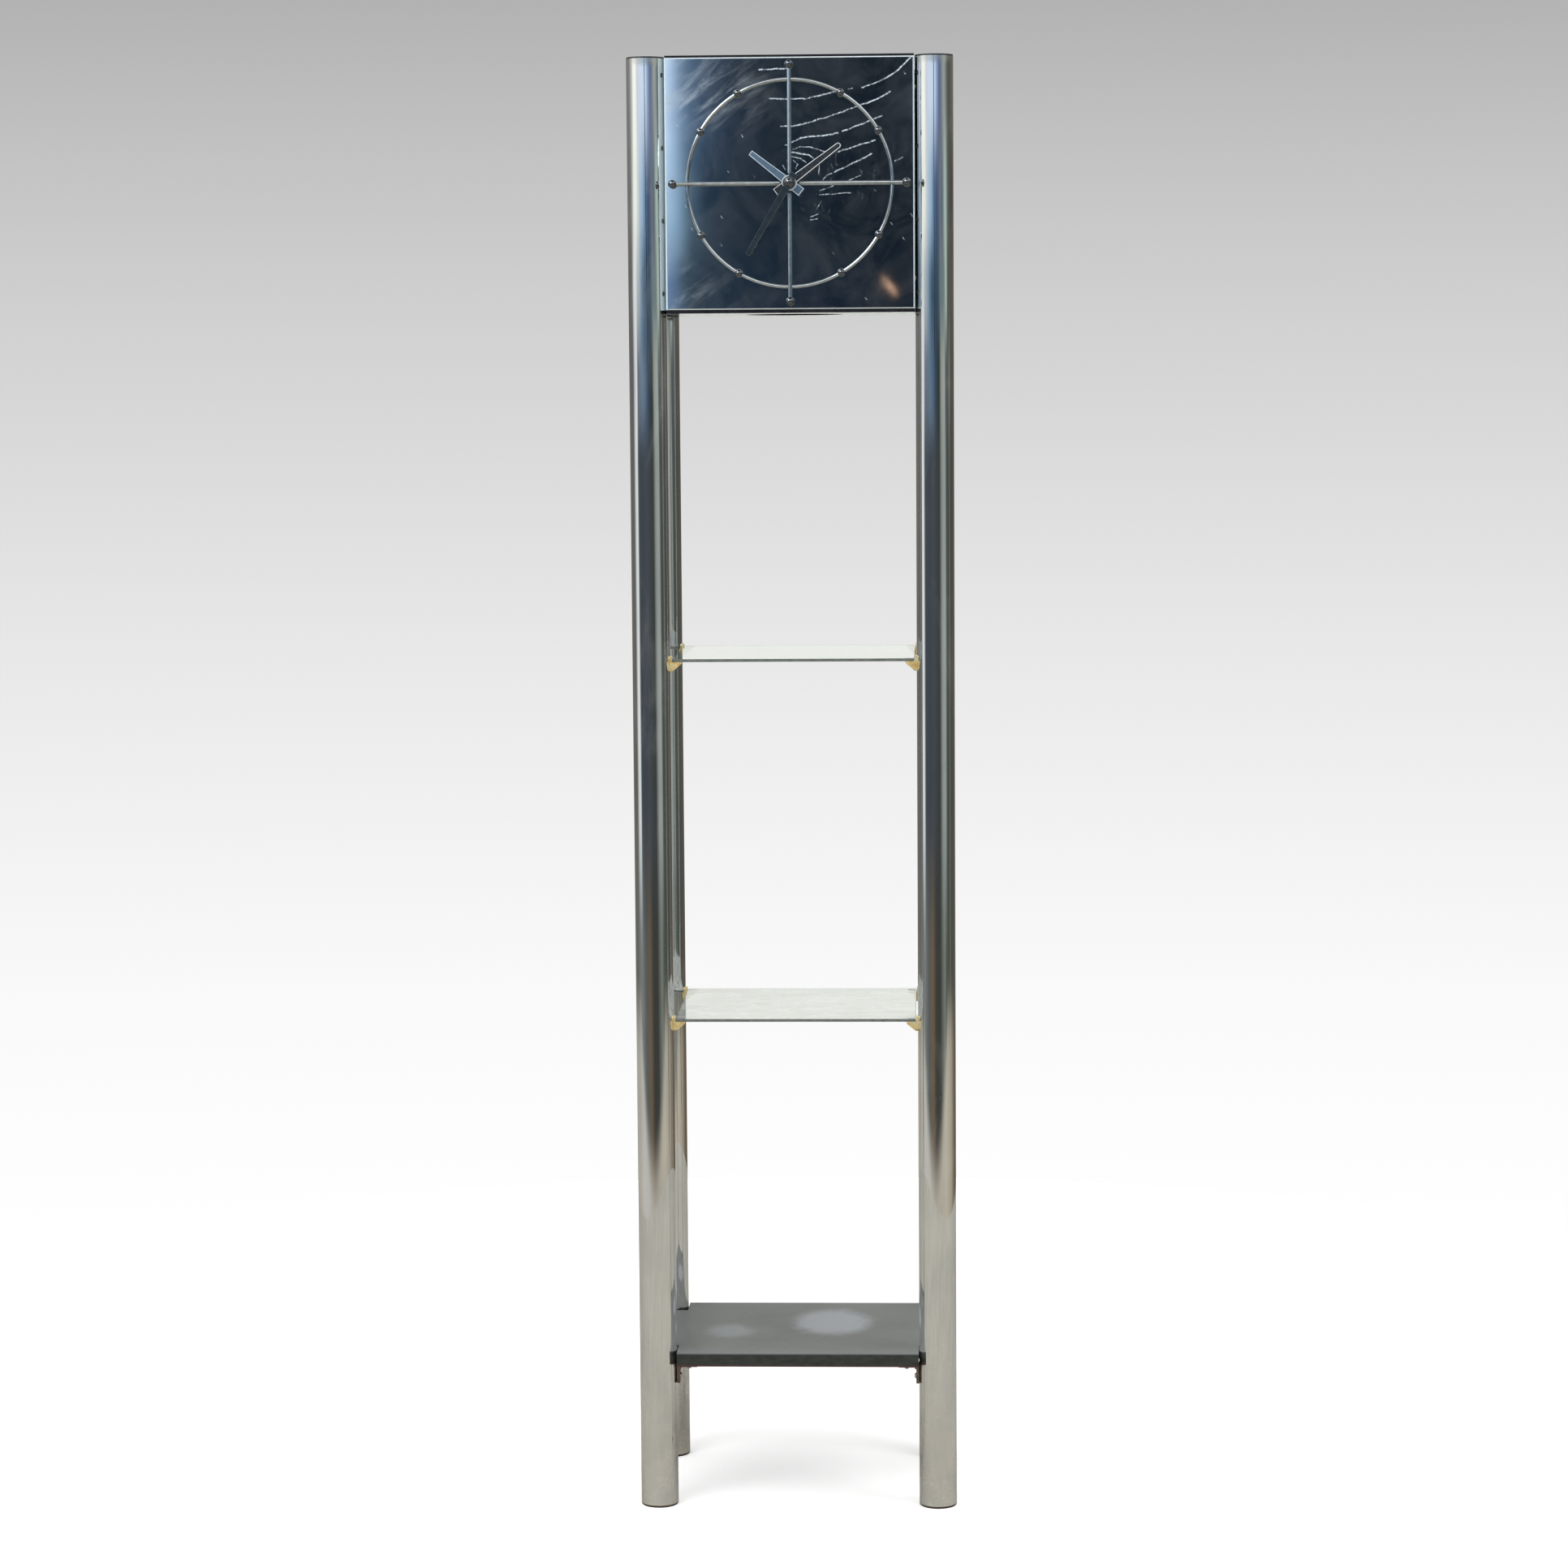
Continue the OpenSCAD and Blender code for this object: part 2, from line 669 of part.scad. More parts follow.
module movement_nut() {
  color([0.82, 0.68, 0.35]) difference() {
    translate([0, -face_y - washer_t, dial_z]) rotate([90, 0, 0])
      cylinder(r = bush_d * 0.75, h = nut_t, $fn = 6);
    bar_y([0, dial_z], -face_y - washer_t - nut_t - 1, -face_y + 1, bush_d / 2);
  }
}

module housing_outline(z0, inset) {
  h = mv_top - z0;
  translate([0, z0 + h / 2]) rounded(2 * (mv_half_x - inset), h - 2 * inset, mv_round - min(inset, mv_round - 1));
}

module cell_space() {
  translate([0, cell_z]) square([2 * (mv_half_x - mv_wall), cell_d + 2 * cell_play], center = true);
}

module movement_front() {
  color([0.13, 0.13, 0.14]) in_movement() difference() {
    union() {
      difference() {
        along_y(0, split) housing_outline(mv_bottom, 0);
        along_y(mv_wall, split + 1) housing_outline(gear_bay_z - mv_wall, mv_wall);
        along_y(mv_wall, split + 1) cell_space();
      }
      along_y(split - 1, bay_depth) difference() {
        intersection() {
          housing_outline(mv_bottom, 0);
          translate([-mv_half_x, mv_bottom]) square([2 * mv_half_x, gear_bay_z - mv_wall - bay_gap - mv_bottom]);
        }
        cell_space();
      }
      for (x = [-boss_x, boss_x], z = boss_zs) bar_y([x, z], mv_wall / 2, split, boss_r);
      bar_y([0, 0], -mv_y - bush_t, mv_wall / 2, bush_d / 2);
    }
    bar_y([0, 0], -mv_y - bush_t - 1, mv_wall + 1, bush_bore);
    for (x = [-boss_x, boss_x], z = boss_zs) bar_y([x, z], mv_wall, split + 1, mv_screw_r);
    for (p = [third_at, intermediate_at, motion_at, rotor_at])
      bar_y(p, mv_wall - pivot_depth, mv_wall + 1, arbor_r + fit);
    bar_y(setting_at, mv_wall - pivot_depth, mv_wall + 1, setting_arbor_r + fit);
  }
}

module movement_rear() {
  color([0.16, 0.16, 0.17]) in_movement() difference() {
    union() {
      difference() {
        along_y(split, mv_depth) housing_outline(gear_bay_z - mv_wall, 0);
        along_y(split - 1, mv_back) housing_outline(gear_bay_z - mv_wall, mv_wall);
      }
      for (x = [-boss_x, boss_x], z = boss_zs) bar_y([x, z], split, mv_back + mv_wall / 2, boss_r);
      for (p = board_pillars) bar_y(p, board_t1, mv_back + mv_wall / 2, 1.5);
      for (x = [stator_x0 + 2.5, stator_x1 - 2.5]) bar_y([x, coil_z], stator_y + stator_t, mv_back + mv_wall / 2, 1.5);
    }
    for (x = [-boss_x, boss_x], z = boss_zs) bar_y([x, z], split - 1, mv_depth + 1, mv_screw_r + bolt_play);
    for (p = [third_at, intermediate_at, motion_at, rotor_at])
      bar_y(p, mv_back - 1, mv_back + pivot_depth, arbor_r + fit);
    bar_y([0, 0], mv_back - 1, mv_back + pivot_depth, seconds_r + fit);
    bar_y(setting_at, mv_back - 1, mv_depth + 1, setting_arbor_r + fit);
  }
}

module movement_screws() {
  color([0.7, 0.7, 0.72]) in_movement()
  for (x = [-boss_x, boss_x], z = boss_zs) {
    bar_y([x, z], mv_wall + 1, mv_depth, mv_screw_r);
    difference() {
      bar_y([x, z], mv_depth, mv_depth + mv_head_t, 2 * mv_screw_r);
      translate([x, mv_depth + mv_head_t, z]) rotate([0, 0, 90]) cross_x(2.4 * mv_screw_r);
    }
  }
}

// Drive circuit on two pillars of the rear cover
board_t1 = mv_back - 1.6;
board_t0 = board_t1 - 1.2;
board_at = [15.5, gear_bay_z + 18];
board_size = [21, 12];
board_pillars = [for (x = [-8, 8]) [board_at[0] + x, board_at[1]]];
module circuit_board() {
  color([0.1, 0.35, 0.2]) in_movement() {
    along_y(board_t0, board_t1) translate(board_at) square(board_size, center = true);
    along_y(board_t0 - 1.6, board_t0) translate(board_at) square([6, 5], center = true);
  }
}

// Laminated core: a frame whose lower arm goes round the rotor and whose upper bar carries the coil
stator_y = rotor_layer + (magnet_l - stator_t) / 2;
module stator() {
  z0 = rotor_at[1] - stator_arm / 2;
  z1 = coil_z + core_h / 2;
  color([0.45, 0.46, 0.48]) in_movement() along_y(stator_y, stator_y + stator_t) difference() {
    translate([stator_x0, z0]) square([stator_x1 - stator_x0, z1 - z0]);
    translate([stator_x0 + stator_leg, z0 + stator_arm])
      square([stator_x1 - stator_x0 - 2 * stator_leg, z1 - z0 - stator_arm - core_h]);
    translate(rotor_at) circle(r = magnet_r + magnet_gap);
  }
}

module motor_coil() {
  x0 = stator_x0 + stator_leg + 1;
  x1 = stator_x1 - stator_leg - 1;
  color([0.72, 0.38, 0.16]) in_movement() translate([0, stator_y + stator_t / 2, coil_z]) difference() {
    union() {
      bar_x(x0, x1, coil_r);
      bar_x(x0, x0 + 1, coil_flange_r);
      bar_x(x1 - 1, x1, coil_flange_r);
    }
    translate([x0 - 1, -stator_t / 2 - fit, -core_h / 2 - fit])
      cube([x1 - x0 + 2, stator_t + 2 * fit, core_h + 2 * fit]);
  }
}

module battery() {
  color([0.75, 0.68, 0.5]) in_movement() translate([0, cell_t, cell_z]) {
    bar_x(-cell_l / 2, cell_l / 2 - 1.5, cell_d / 2);
    bar_x(cell_l / 2 - 1.5, cell_l / 2, 2.6);
  }
}

// A flat contact at each end of the cell, the one at the left with a pressed spring bump
contact_t = 0.4;
module battery_contacts() {
  color([0.78, 0.78, 0.76]) in_movement() translate([0, cell_t, cell_z])
  for (s = [-1, 1]) {
    x = s * (mv_half_x - mv_wall - contact_t / 2);
    translate([x, 0, 0]) cube([contact_t, 11, 11], center = true);
    rotate([0, 0, s > 0 ? 0 : half_turn]) translate([cell_l / 2, 0, 0]) rotate([0, 90, 0])
      cylinder(r1 = 2.4, r2 = 4, h = mv_half_x - mv_wall - contact_t - cell_l / 2);
  }
}

// Straight-flanked tooth ring; slim is the share of the pitch that a tooth takes at the pitch line
function gear_points(teeth, mod, slim) = [
  for (i = [0:teeth - 1], k = [-1, 1], q = [0, 1])
    let (
      at_tip = (k < 0) ? q : 1 - q,
      pitch_r = teeth * mod / 2,
      r = at_tip ? pitch_r + tooth_add * mod : pitch_r - tooth_ded * mod,
      half = half_turn / teeth * slim * (at_tip ? tooth_tip : tooth_root),
      a = 360 / teeth * i + k * half
    ) [r * sin(a), r * cos(a)]
];

// A toothed disc at a place and depth, with one tooth pointing to the direction phase
module toothed(at, t0, t1, teeth, mod, slim, phase) {
  translate([at[0], 0, at[1]]) along_y(t0, t1) rotate(-phase)
    polygon(gear_points(teeth, mod, slim));
}
module wheel(at, t, teeth, mod, phase) {
  pitch_r = teeth * mod / 2;
  difference() {
    toothed(at, t, t + wheel_t, teeth, mod, wheel_slim, phase);
    for (i = [0:4]) bar_y(at + polar(pitch_r * 0.6, i * 72), t - 1, t + wheel_t + 1, pitch_r * 0.2);
  }
}
module pinion(at, t, teeth, mod, toward) {
  toothed(at, t - pinion_extra, t + wheel_t + pinion_extra, teeth, mod, pinion_slim, toward + half_turn / teeth);
}
module rotor() {
  color([0.25, 0.25, 0.28]) in_movement() {
    pinion(rotor_at, drive_layer, rotor_teeth, rotor_module, rotor_dir + half_turn);
    bar_y(rotor_at, rotor_layer, rotor_layer + magnet_l, magnet_r);
    bar_y(rotor_at, mv_wall - pivot_depth + fit, mv_back + pivot_depth - fit, arbor_r);
  }
}

module intermediate_wheel() {
  color([0.9, 0.88, 0.8]) in_movement() {
    wheel(intermediate_at, drive_layer, intermediate_teeth, rotor_module, rotor_dir);
    pinion(intermediate_at, seconds_layer, intermediate_pinion, drive_module, intermediate_dir + half_turn);
    bar_y(intermediate_at, mv_wall - pivot_depth + fit, mv_back + pivot_depth - fit, arbor_r);
    bar_y(intermediate_at, seconds_layer, drive_layer + 2 * wheel_t, 1.4);
  }
}

// Wheel and pinion on the long arbor that carries the sweep second hand
module seconds_wheel() {
  color([0.85, 0.86, 0.88]) in_movement() {
    wheel([0, 0], seconds_layer, seconds_teeth, drive_module, intermediate_dir);
    pinion([0, 0], third_layer, seconds_pinion, third_module, third_dir);
    bar_y([0, 0], -mv_y - cap_t - cap_stem + fit, mv_back + pivot_depth - fit, seconds_r);
  }
}

module third_wheel() {
  color([0.88, 0.82, 0.7]) in_movement() {
    wheel(third_at, third_layer, third_teeth, third_module, third_dir + half_turn);
    pinion(third_at, minute_layer, third_pinion, minute_module, third_dir + half_turn);
    bar_y(third_at, mv_wall - pivot_depth + fit, mv_back + pivot_depth - fit, arbor_r);
  }
}

module minute_wheel() {
  color([0.8, 0.83, 0.86]) in_movement() difference() {
    union() {
      wheel([0, 0], minute_layer, minute_teeth, minute_module, third_dir);
      pinion([0, 0], cannon_layer, cannon_teeth, cannon_module, motion_dir);
      bar_y([0, 0], -mv_y - minute_t - blade - rim, minute_layer + wheel_t, minute_r);
    }
    bar_y([0, 0], -mv_y - minute_t - blade - rim - 1, minute_layer + wheel_t + 1, minute_bore);
  }
}

module motion_wheel() {
  color([0.9, 0.88, 0.8]) in_movement() {
    wheel(motion_at, cannon_layer, motion_teeth, cannon_module, motion_dir + half_turn);
    pinion(motion_at, hour_layer, motion_pinion, hour_module, motion_dir + half_turn);
    bar_y(motion_at, mv_wall - pivot_depth + fit, mv_back + pivot_depth - fit, arbor_r);
  }
}

module hour_wheel() {
  color([0.86, 0.84, 0.78]) in_movement() difference() {
    union() {
      wheel([0, 0], hour_layer, hour_teeth, hour_module, motion_dir);
      bar_y([0, 0], -mv_y - hour_t - blade - rim, hour_layer + wheel_t, hour_r);
    }
    bar_y([0, 0], -mv_y - hour_t - blade - rim - 1, hour_layer + wheel_t + 1, hour_bore);
  }
}

// Knob behind the movement; its pinion turns the motion wheel to set the hands
knob_stand = 0.6;
knob_t = 6;
module setting_knob() {
  grips = 18;
  color([0.1, 0.1, 0.11]) in_movement() {
    pinion(setting_at, cannon_layer, setting_teeth, cannon_module, setting_dir + half_turn);
    bar_y(setting_at, mv_wall - pivot_depth + fit, mv_depth + knob_stand + 1, setting_arbor_r);
    difference() {
      bar_y(setting_at, mv_depth + knob_stand, mv_depth + knob_stand + knob_t, knob_d / 2);
      for (i = [0:grips - 1]) bar_y(setting_at + polar(knob_d / 2 + 0.3, i * 360 / grips),
        mv_depth + knob_stand - 1, mv_depth + knob_stand + knob_t + 1, 0.7);
    }
  }
}

// Section of a glass shelf, both its long edges eased
module glass_section(w) {
  e = glass_ease;
  polygon([for (p = [[e - w, 0], [w - e, 0], [w, e], [w, glass_t - e], [w - e, glass_t], [e - w, glass_t],
    [-w, glass_t - e], [-w, e]]) p]);
}

module glass_shelf(z) {
  color([0.8, 0.9, 0.88, 0.45])
  translate([0, 0, z - glass_t]) intersection() {
    rotate([90, 0, 90]) linear_extrude(2 * glass_x + 2, center = true) glass_section(glass_depth / 2);
    rotate([90, 0, 0]) linear_extrude(glass_depth + 2, center = true) glass_section(glass_x);
  }
}

// Side view of a clip: u runs in from the post, v runs up from the glass underside
module clip_side() {
  polygon([[0, -clip_drop], [clip_flange, -clip_drop], [clip_flange + 1.5, -clip_drop + 1.5],
    [clip_reach - 2, -4], [clip_reach, -2.4], [clip_reach, 0], [clip_flange, 0],
    [clip_flange, glass_t + clip_rise - 1], [clip_flange - 1, glass_t + clip_rise], [0, glass_t + clip_rise]]);
}

module clip_front() {
  h = clip_drop + glass_t + clip_rise;
  translate([0, h / 2 - clip_drop]) intersection() {
    circle(r = h / 2, $fn = 48);
    square([clip_w, h + 1], center = true);
  }
}

// One clip beside a post, with its oval flange, its arm under the glass and its peg;
// off is how far the post's middle lies to the side of the clip's
module shelf_clip(off) {
  difference() {
    union() {
      intersection() {
        translate([0, clip_w / 2, 0]) rotate([90, 0, 0]) linear_extrude(clip_w) clip_side();
        rotate([90, 0, 90]) linear_extrude(clip_reach + 1) clip_front();
      }
      translate([-clip_wrap, 0, 0]) rotate([90, 0, 90]) linear_extrude(clip_wrap + clip_flange / 2) clip_front();
    }
    translate([-post_r, off, -2 * clip_drop]) cylinder(r = post_r + fit, h = 4 * clip_drop, $fn = 96);
  }
  translate([0, 0, clip_peg_z]) bar_x(-peg_l, clip_flange / 2, peg_d / 2);
}

module shelf_clips(z) {
  color([0.85, 0.65, 0.25])
  for (c = corners) translate([c[0] * flank_x, c[1] * clip_y, z - glass_t])
    rotate([0, 0, c[0] < 0 ? 0 : half_turn]) shelf_clip(c[0] * c[1] * clip_off);
}

// Base board, notched at its corners round the posts, with eased long edges and pilot holes from below
module base_shelf() {
  color([0.15, 0.16, 0.16])
  difference() {
    translate([-base_end_x, 0, base_top_z - base_t]) rotate([90, 0, 90]) linear_extrude(2 * base_end_x)
      polygon([[-base_depth / 2, 0], [-base_depth / 2, base_t - arris], [arris - base_depth / 2, base_t],
        [base_depth / 2 - arris, base_t], [base_depth / 2, base_t - arris], [base_depth / 2, 0]]);
    for (c = corners) translate([c[0] * (base_x + notch_w / 2), c[1] * (ear_y + notch_d / 2), base_top_z])
      cube([notch_w, notch_d, 2 * base_t + 2], center = true);
    at_shelf_screws() cylinder(r = board_screw_r + fit, h = board_screw_l);
  }
}

// Angle brackets that carry the base shelf on the posts
module at_shelf_screws() {
  at_brackets() for (y = [-bracket_w / 4, bracket_w / 4]) translate([bracket_leg * 0.6, y, 0]) children();
}
module at_brackets() {
  for (c = corners) translate([c[0] * flank_x, c[1] * post_y, base_top_z - base_t])
    rotate([0, 0, c[0] < 0 ? 0 : half_turn]) children();
}
module base_brackets() {
  color([0.22, 0.16, 0.14])
  at_brackets() difference() {
    translate([0, bracket_w / 2, 0]) rotate([90, 0, 0]) linear_extrude(bracket_w) difference() {
      translate([0, -bracket_drop]) square([bracket_leg, bracket_drop]);
      translate([bracket_t + 2, -bracket_drop - 1]) square([bracket_leg, bracket_drop + 1 - bracket_t]);
      translate([bracket_t, -bracket_drop - 1]) square([3, bracket_drop + 1 - bracket_t - 2]);
    }
    translate([0, 0, -bracket_screw_z]) bar_x(-1, bracket_t + 1, bracket_screw_r + bolt_play);
    for (y = [-bracket_w / 4, bracket_w / 4]) translate([bracket_leg * 0.6, y, -bracket_t - 1])
      cylinder(r = board_screw_r + bolt_play, h = bracket_t + 2);
  }
}

module bracket_screws() {
  color([0.6, 0.6, 0.6])
  at_brackets() translate([0, 0, -bracket_screw_z]) {
    bar_x(-12, bracket_t, bracket_screw_r);
    translate([bracket_t, 0, 0]) difference() {
      rotate([0, 90, 0]) cylinder(r1 = pan_r, r2 = pan_r * 0.7, h = pan_t);
      translate([pan_t, 0, 0]) cross_x(pan_r);
    }
  }
}

module shelf_screws() {
  color([0.6, 0.6, 0.6])
  at_shelf_screws() translate([0, 0, -bracket_t]) {
    cylinder(r = board_screw_r, h = bracket_t + board_screw_l);
    translate([0, 0, -pan_t]) difference() {
      cylinder(r1 = pan_r * 0.6, r2 = pan_r * 0.85, h = pan_t);
      rotate([0, 90, 0]) cross_x(pan_r * 0.9);
    }
  }
}

centred() post(-1, -1);  // front_left_post
centred() post(1, -1);  // front_right_post
centred() post(-1, 1);  // rear_left_post
centred() post(1, 1);  // rear_right_post
centred() post_caps();
centred() foot_plugs();
centred() face_plate();
centred() side_panel(-1);  // left_side_panel
centred() side_panel(1);  // right_side_panel
centred() rear_panel();
centred() top_lid();
centred() bottom_panel();
centred() corner_battens();
centred() case_bolts();
centred() bolt_inserts();
centred() panel_screws();
centred() dial_ring();
centred() dial_rods();
centred() dial_nuts();
centred() hour_hand();
centred() minute_hand();
centred() second_hand();
centred() hand_cap();
centred() movement_gasket();
centred() movement_washer();
centred() movement_nut();
centred() movement_front();
centred() movement_rear();
centred() movement_screws();
centred() circuit_board();
centred() stator();
centred() motor_coil();
centred() battery();
centred() battery_contacts();
centred() rotor();
centred() intermediate_wheel();
centred() seconds_wheel();
centred() third_wheel();
centred() minute_wheel();
centred() motion_wheel();
centred() hour_wheel();
centred() setting_knob();
centred() glass_shelf(upper_shelf_z);  // upper_glass_shelf
centred() glass_shelf(lower_shelf_z);  // lower_glass_shelf
centred() shelf_clips(upper_shelf_z);  // upper_shelf_clips
centred() shelf_clips(lower_shelf_z);  // lower_shelf_clips
centred() base_shelf();
centred() base_brackets();
centred() bracket_screws();
centred() shelf_screws();
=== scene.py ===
import json
import math

import bmesh
import bpy
from mathutils import Matrix, Vector

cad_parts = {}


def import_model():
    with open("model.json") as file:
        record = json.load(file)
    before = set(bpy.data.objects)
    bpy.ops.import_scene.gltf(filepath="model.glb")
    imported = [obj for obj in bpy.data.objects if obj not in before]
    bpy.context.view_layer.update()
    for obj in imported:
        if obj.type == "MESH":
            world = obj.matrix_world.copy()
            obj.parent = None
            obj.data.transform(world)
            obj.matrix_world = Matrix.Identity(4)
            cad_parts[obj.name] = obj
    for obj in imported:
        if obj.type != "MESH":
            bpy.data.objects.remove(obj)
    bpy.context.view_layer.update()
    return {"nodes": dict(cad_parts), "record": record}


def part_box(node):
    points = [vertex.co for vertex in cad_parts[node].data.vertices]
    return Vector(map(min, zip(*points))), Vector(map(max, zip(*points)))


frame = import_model()

scene = bpy.context.scene
NODES = frame["nodes"]
RECORD = frame["record"]
SLOT_OF = {s["node"]: s["material_slot"] for s in RECORD["subparts"]}
MM = 0.001


def span_of(node, axis):
    """The lowest and highest place of a node along an axis, in metres."""
    lo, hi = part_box(node)
    return lo[axis], hi[axis]


def middle_of(node, axis):
    return sum(span_of(node, axis)) / 2


# Sizes and edges of the clock that its materials follow, in metres
DIAL_Z = middle_of("dial_ring", 2)
WIRE_R = 0.0022
BALL_R = 0.0052
HAND_RIM = 0.0006
RING_R = span_of("dial_ring", 0)[1] - WIRE_R
RING_Y = span_of("dial_ring", 1)[0] + BALL_R
ROD_END = span_of("dial_rods", 2)[1] - DIAL_Z
FACE_HALF = span_of("face_plate", 0)[1]
FACE_FRONT = span_of("face_plate", 1)[0]
FACE_LOW, FACE_HIGH = span_of("face_plate", 2)
BASE_FRONT = span_of("base_shelf", 1)[0]
BASE_TOP = span_of("base_shelf", 2)[1]
BETWEEN_SHELVES = (middle_of("lower_glass_shelf", 2) + middle_of("upper_glass_shelf", 2)) / 2
TUBE_TOP = span_of("front_left_post", 2)[1]

# The camera, fitted to the edges of the clock in the photograph: metres, degrees and the photograph's pixels
CAMERA_PLACE = (0.1923, -5.36238, 1.5335)
CAMERA_YAW = -2.248
CAMERA_PITCH = -5.904
CAMERA_ROLL = -0.404
FOCAL_PX = 4841.6
PHOTO_PX = 1932
SENSOR_MM = 36.0


def set_camera():
    yaw, pitch, roll = (math.radians(a) for a in (CAMERA_YAW, CAMERA_PITCH, CAMERA_ROLL))
    ahead = Vector((math.sin(yaw) * math.cos(pitch), math.cos(yaw) * math.cos(pitch), math.sin(pitch)))
    level = Vector((math.cos(yaw), -math.sin(yaw), 0.0))
    up = level.cross(ahead)
    right = math.cos(roll) * level + math.sin(roll) * up
    top = -math.sin(roll) * level + math.cos(roll) * up
    data = bpy.data.cameras.new("camera")
    data.sensor_fit = "HORIZONTAL"
    data.sensor_width = SENSOR_MM
    data.lens = FOCAL_PX / PHOTO_PX * SENSOR_MM
    data.clip_end = 60.0
    data.dof.use_dof = False
    cam = bpy.data.objects.new("camera", data)
    scene.collection.objects.link(cam)
    placed = Matrix((right, top, -ahead)).transposed().to_4x4()
    placed.translation = CAMERA_PLACE
    cam.matrix_world = placed
    scene.camera = cam


class Tree:
    """A node tree under construction, with short ways to add its nodes."""

    def __init__(self, tree):
        self.tree = tree

    def node(self, kind, **values):
        made = self.tree.nodes.new(kind)
        for key, value in values.items():
            setattr(made, key, value)
        return made

    def link(self, output, socket):
        self.tree.links.new(output, socket)

    def put(self, socket, value):
        """Sets a socket to a number, a colour or a vector, or links it to an output."""
        if isinstance(value, (int, float)):
            socket.default_value = value
        elif isinstance(value, (tuple, Vector)):
            socket.default_value = (*value, 1.0) if len(socket.default_value) == 4 else tuple(value)
        else:
            self.link(value, socket)

    def math(self, operation, a, b=None):
        made = self.node("ShaderNodeMath", operation=operation)
        self.put(made.inputs[0], a)
        if b is not None:
            self.put(made.inputs[1], b)
        return made.outputs["Value"]

    def clamp(self, value):
        made = self.node("ShaderNodeClamp")
        self.link(value, made.inputs["Value"])
        return made.outputs["Result"]

    def span(self, value, a, b, lo, hi):
        """Carries the range a to b over to the range lo to hi, and stays inside it."""
        made = self.node("ShaderNodeMapRange")
        for key, limit in zip(("From Min", "From Max", "To Min", "To Max"), (a, b, lo, hi)):
            made.inputs[key].default_value = limit
        self.link(value, made.inputs["Value"])
        return made.outputs["Result"]

    def smooth(self, value, a, b, lo=0.0, hi=1.0):
        """As span does, but easing in and out."""
        result = self.span(value, a, b, lo, hi)
        result.node.interpolation_type = "SMOOTHSTEP"
        return result

    def vec(self, operation, a, b):
        made = self.node("ShaderNodeVectorMath", operation=operation)
        self.put(made.inputs[0], a)
        self.put(made.inputs["Scale" if operation == "SCALE" else 1], b)
        return made.outputs["Value" if operation in ("DOT_PRODUCT", "DISTANCE") else "Vector"]

    def split(self, vector):
        made = self.node("ShaderNodeSeparateXYZ")
        self.link(vector, made.inputs[0])
        return made.outputs

    def mix(self, share, a, b):
        """Colour a where share is 0, colour b where it is 1."""
        made = self.node("ShaderNodeMix", data_type="RGBA")
        share_in, a_in, b_in = (made.inputs[i] for i in (0, 6, 7))
        self.put(share_in, share)
        self.put(a_in, a)
        self.put(b_in, b)
        return made.outputs[2]

    def ramp(self, share, stops):
        made = self.node("ShaderNodeValToRGB")
        elements = made.color_ramp.elements
        while len(elements) < len(stops):
            elements.new(0.5)
        for element, (place, colour) in zip(elements, stops):
            element.position = place
            element.color = (*colour, 1.0)
        self.link(share, made.inputs["Fac"])
        return made.outputs["Color"]

    def oval(self, a, b, centre, half, soft):
        """1 inside an ellipse of the two coordinates a and b, falling to 0 over the share soft."""
        u = self.math("DIVIDE", self.math("SUBTRACT", a, centre[0]), half[0])
        v = self.math("DIVIDE", self.math("SUBTRACT", b, centre[1]), half[1])
        d = self.math("SQRT", self.math("ADD", self.math("MULTIPLY", u, u), self.math("MULTIPLY", v, v)))
        return self.smooth(d, 1.0 - soft, 1.0 + soft, 1.0, 0.0)


MATS = {}


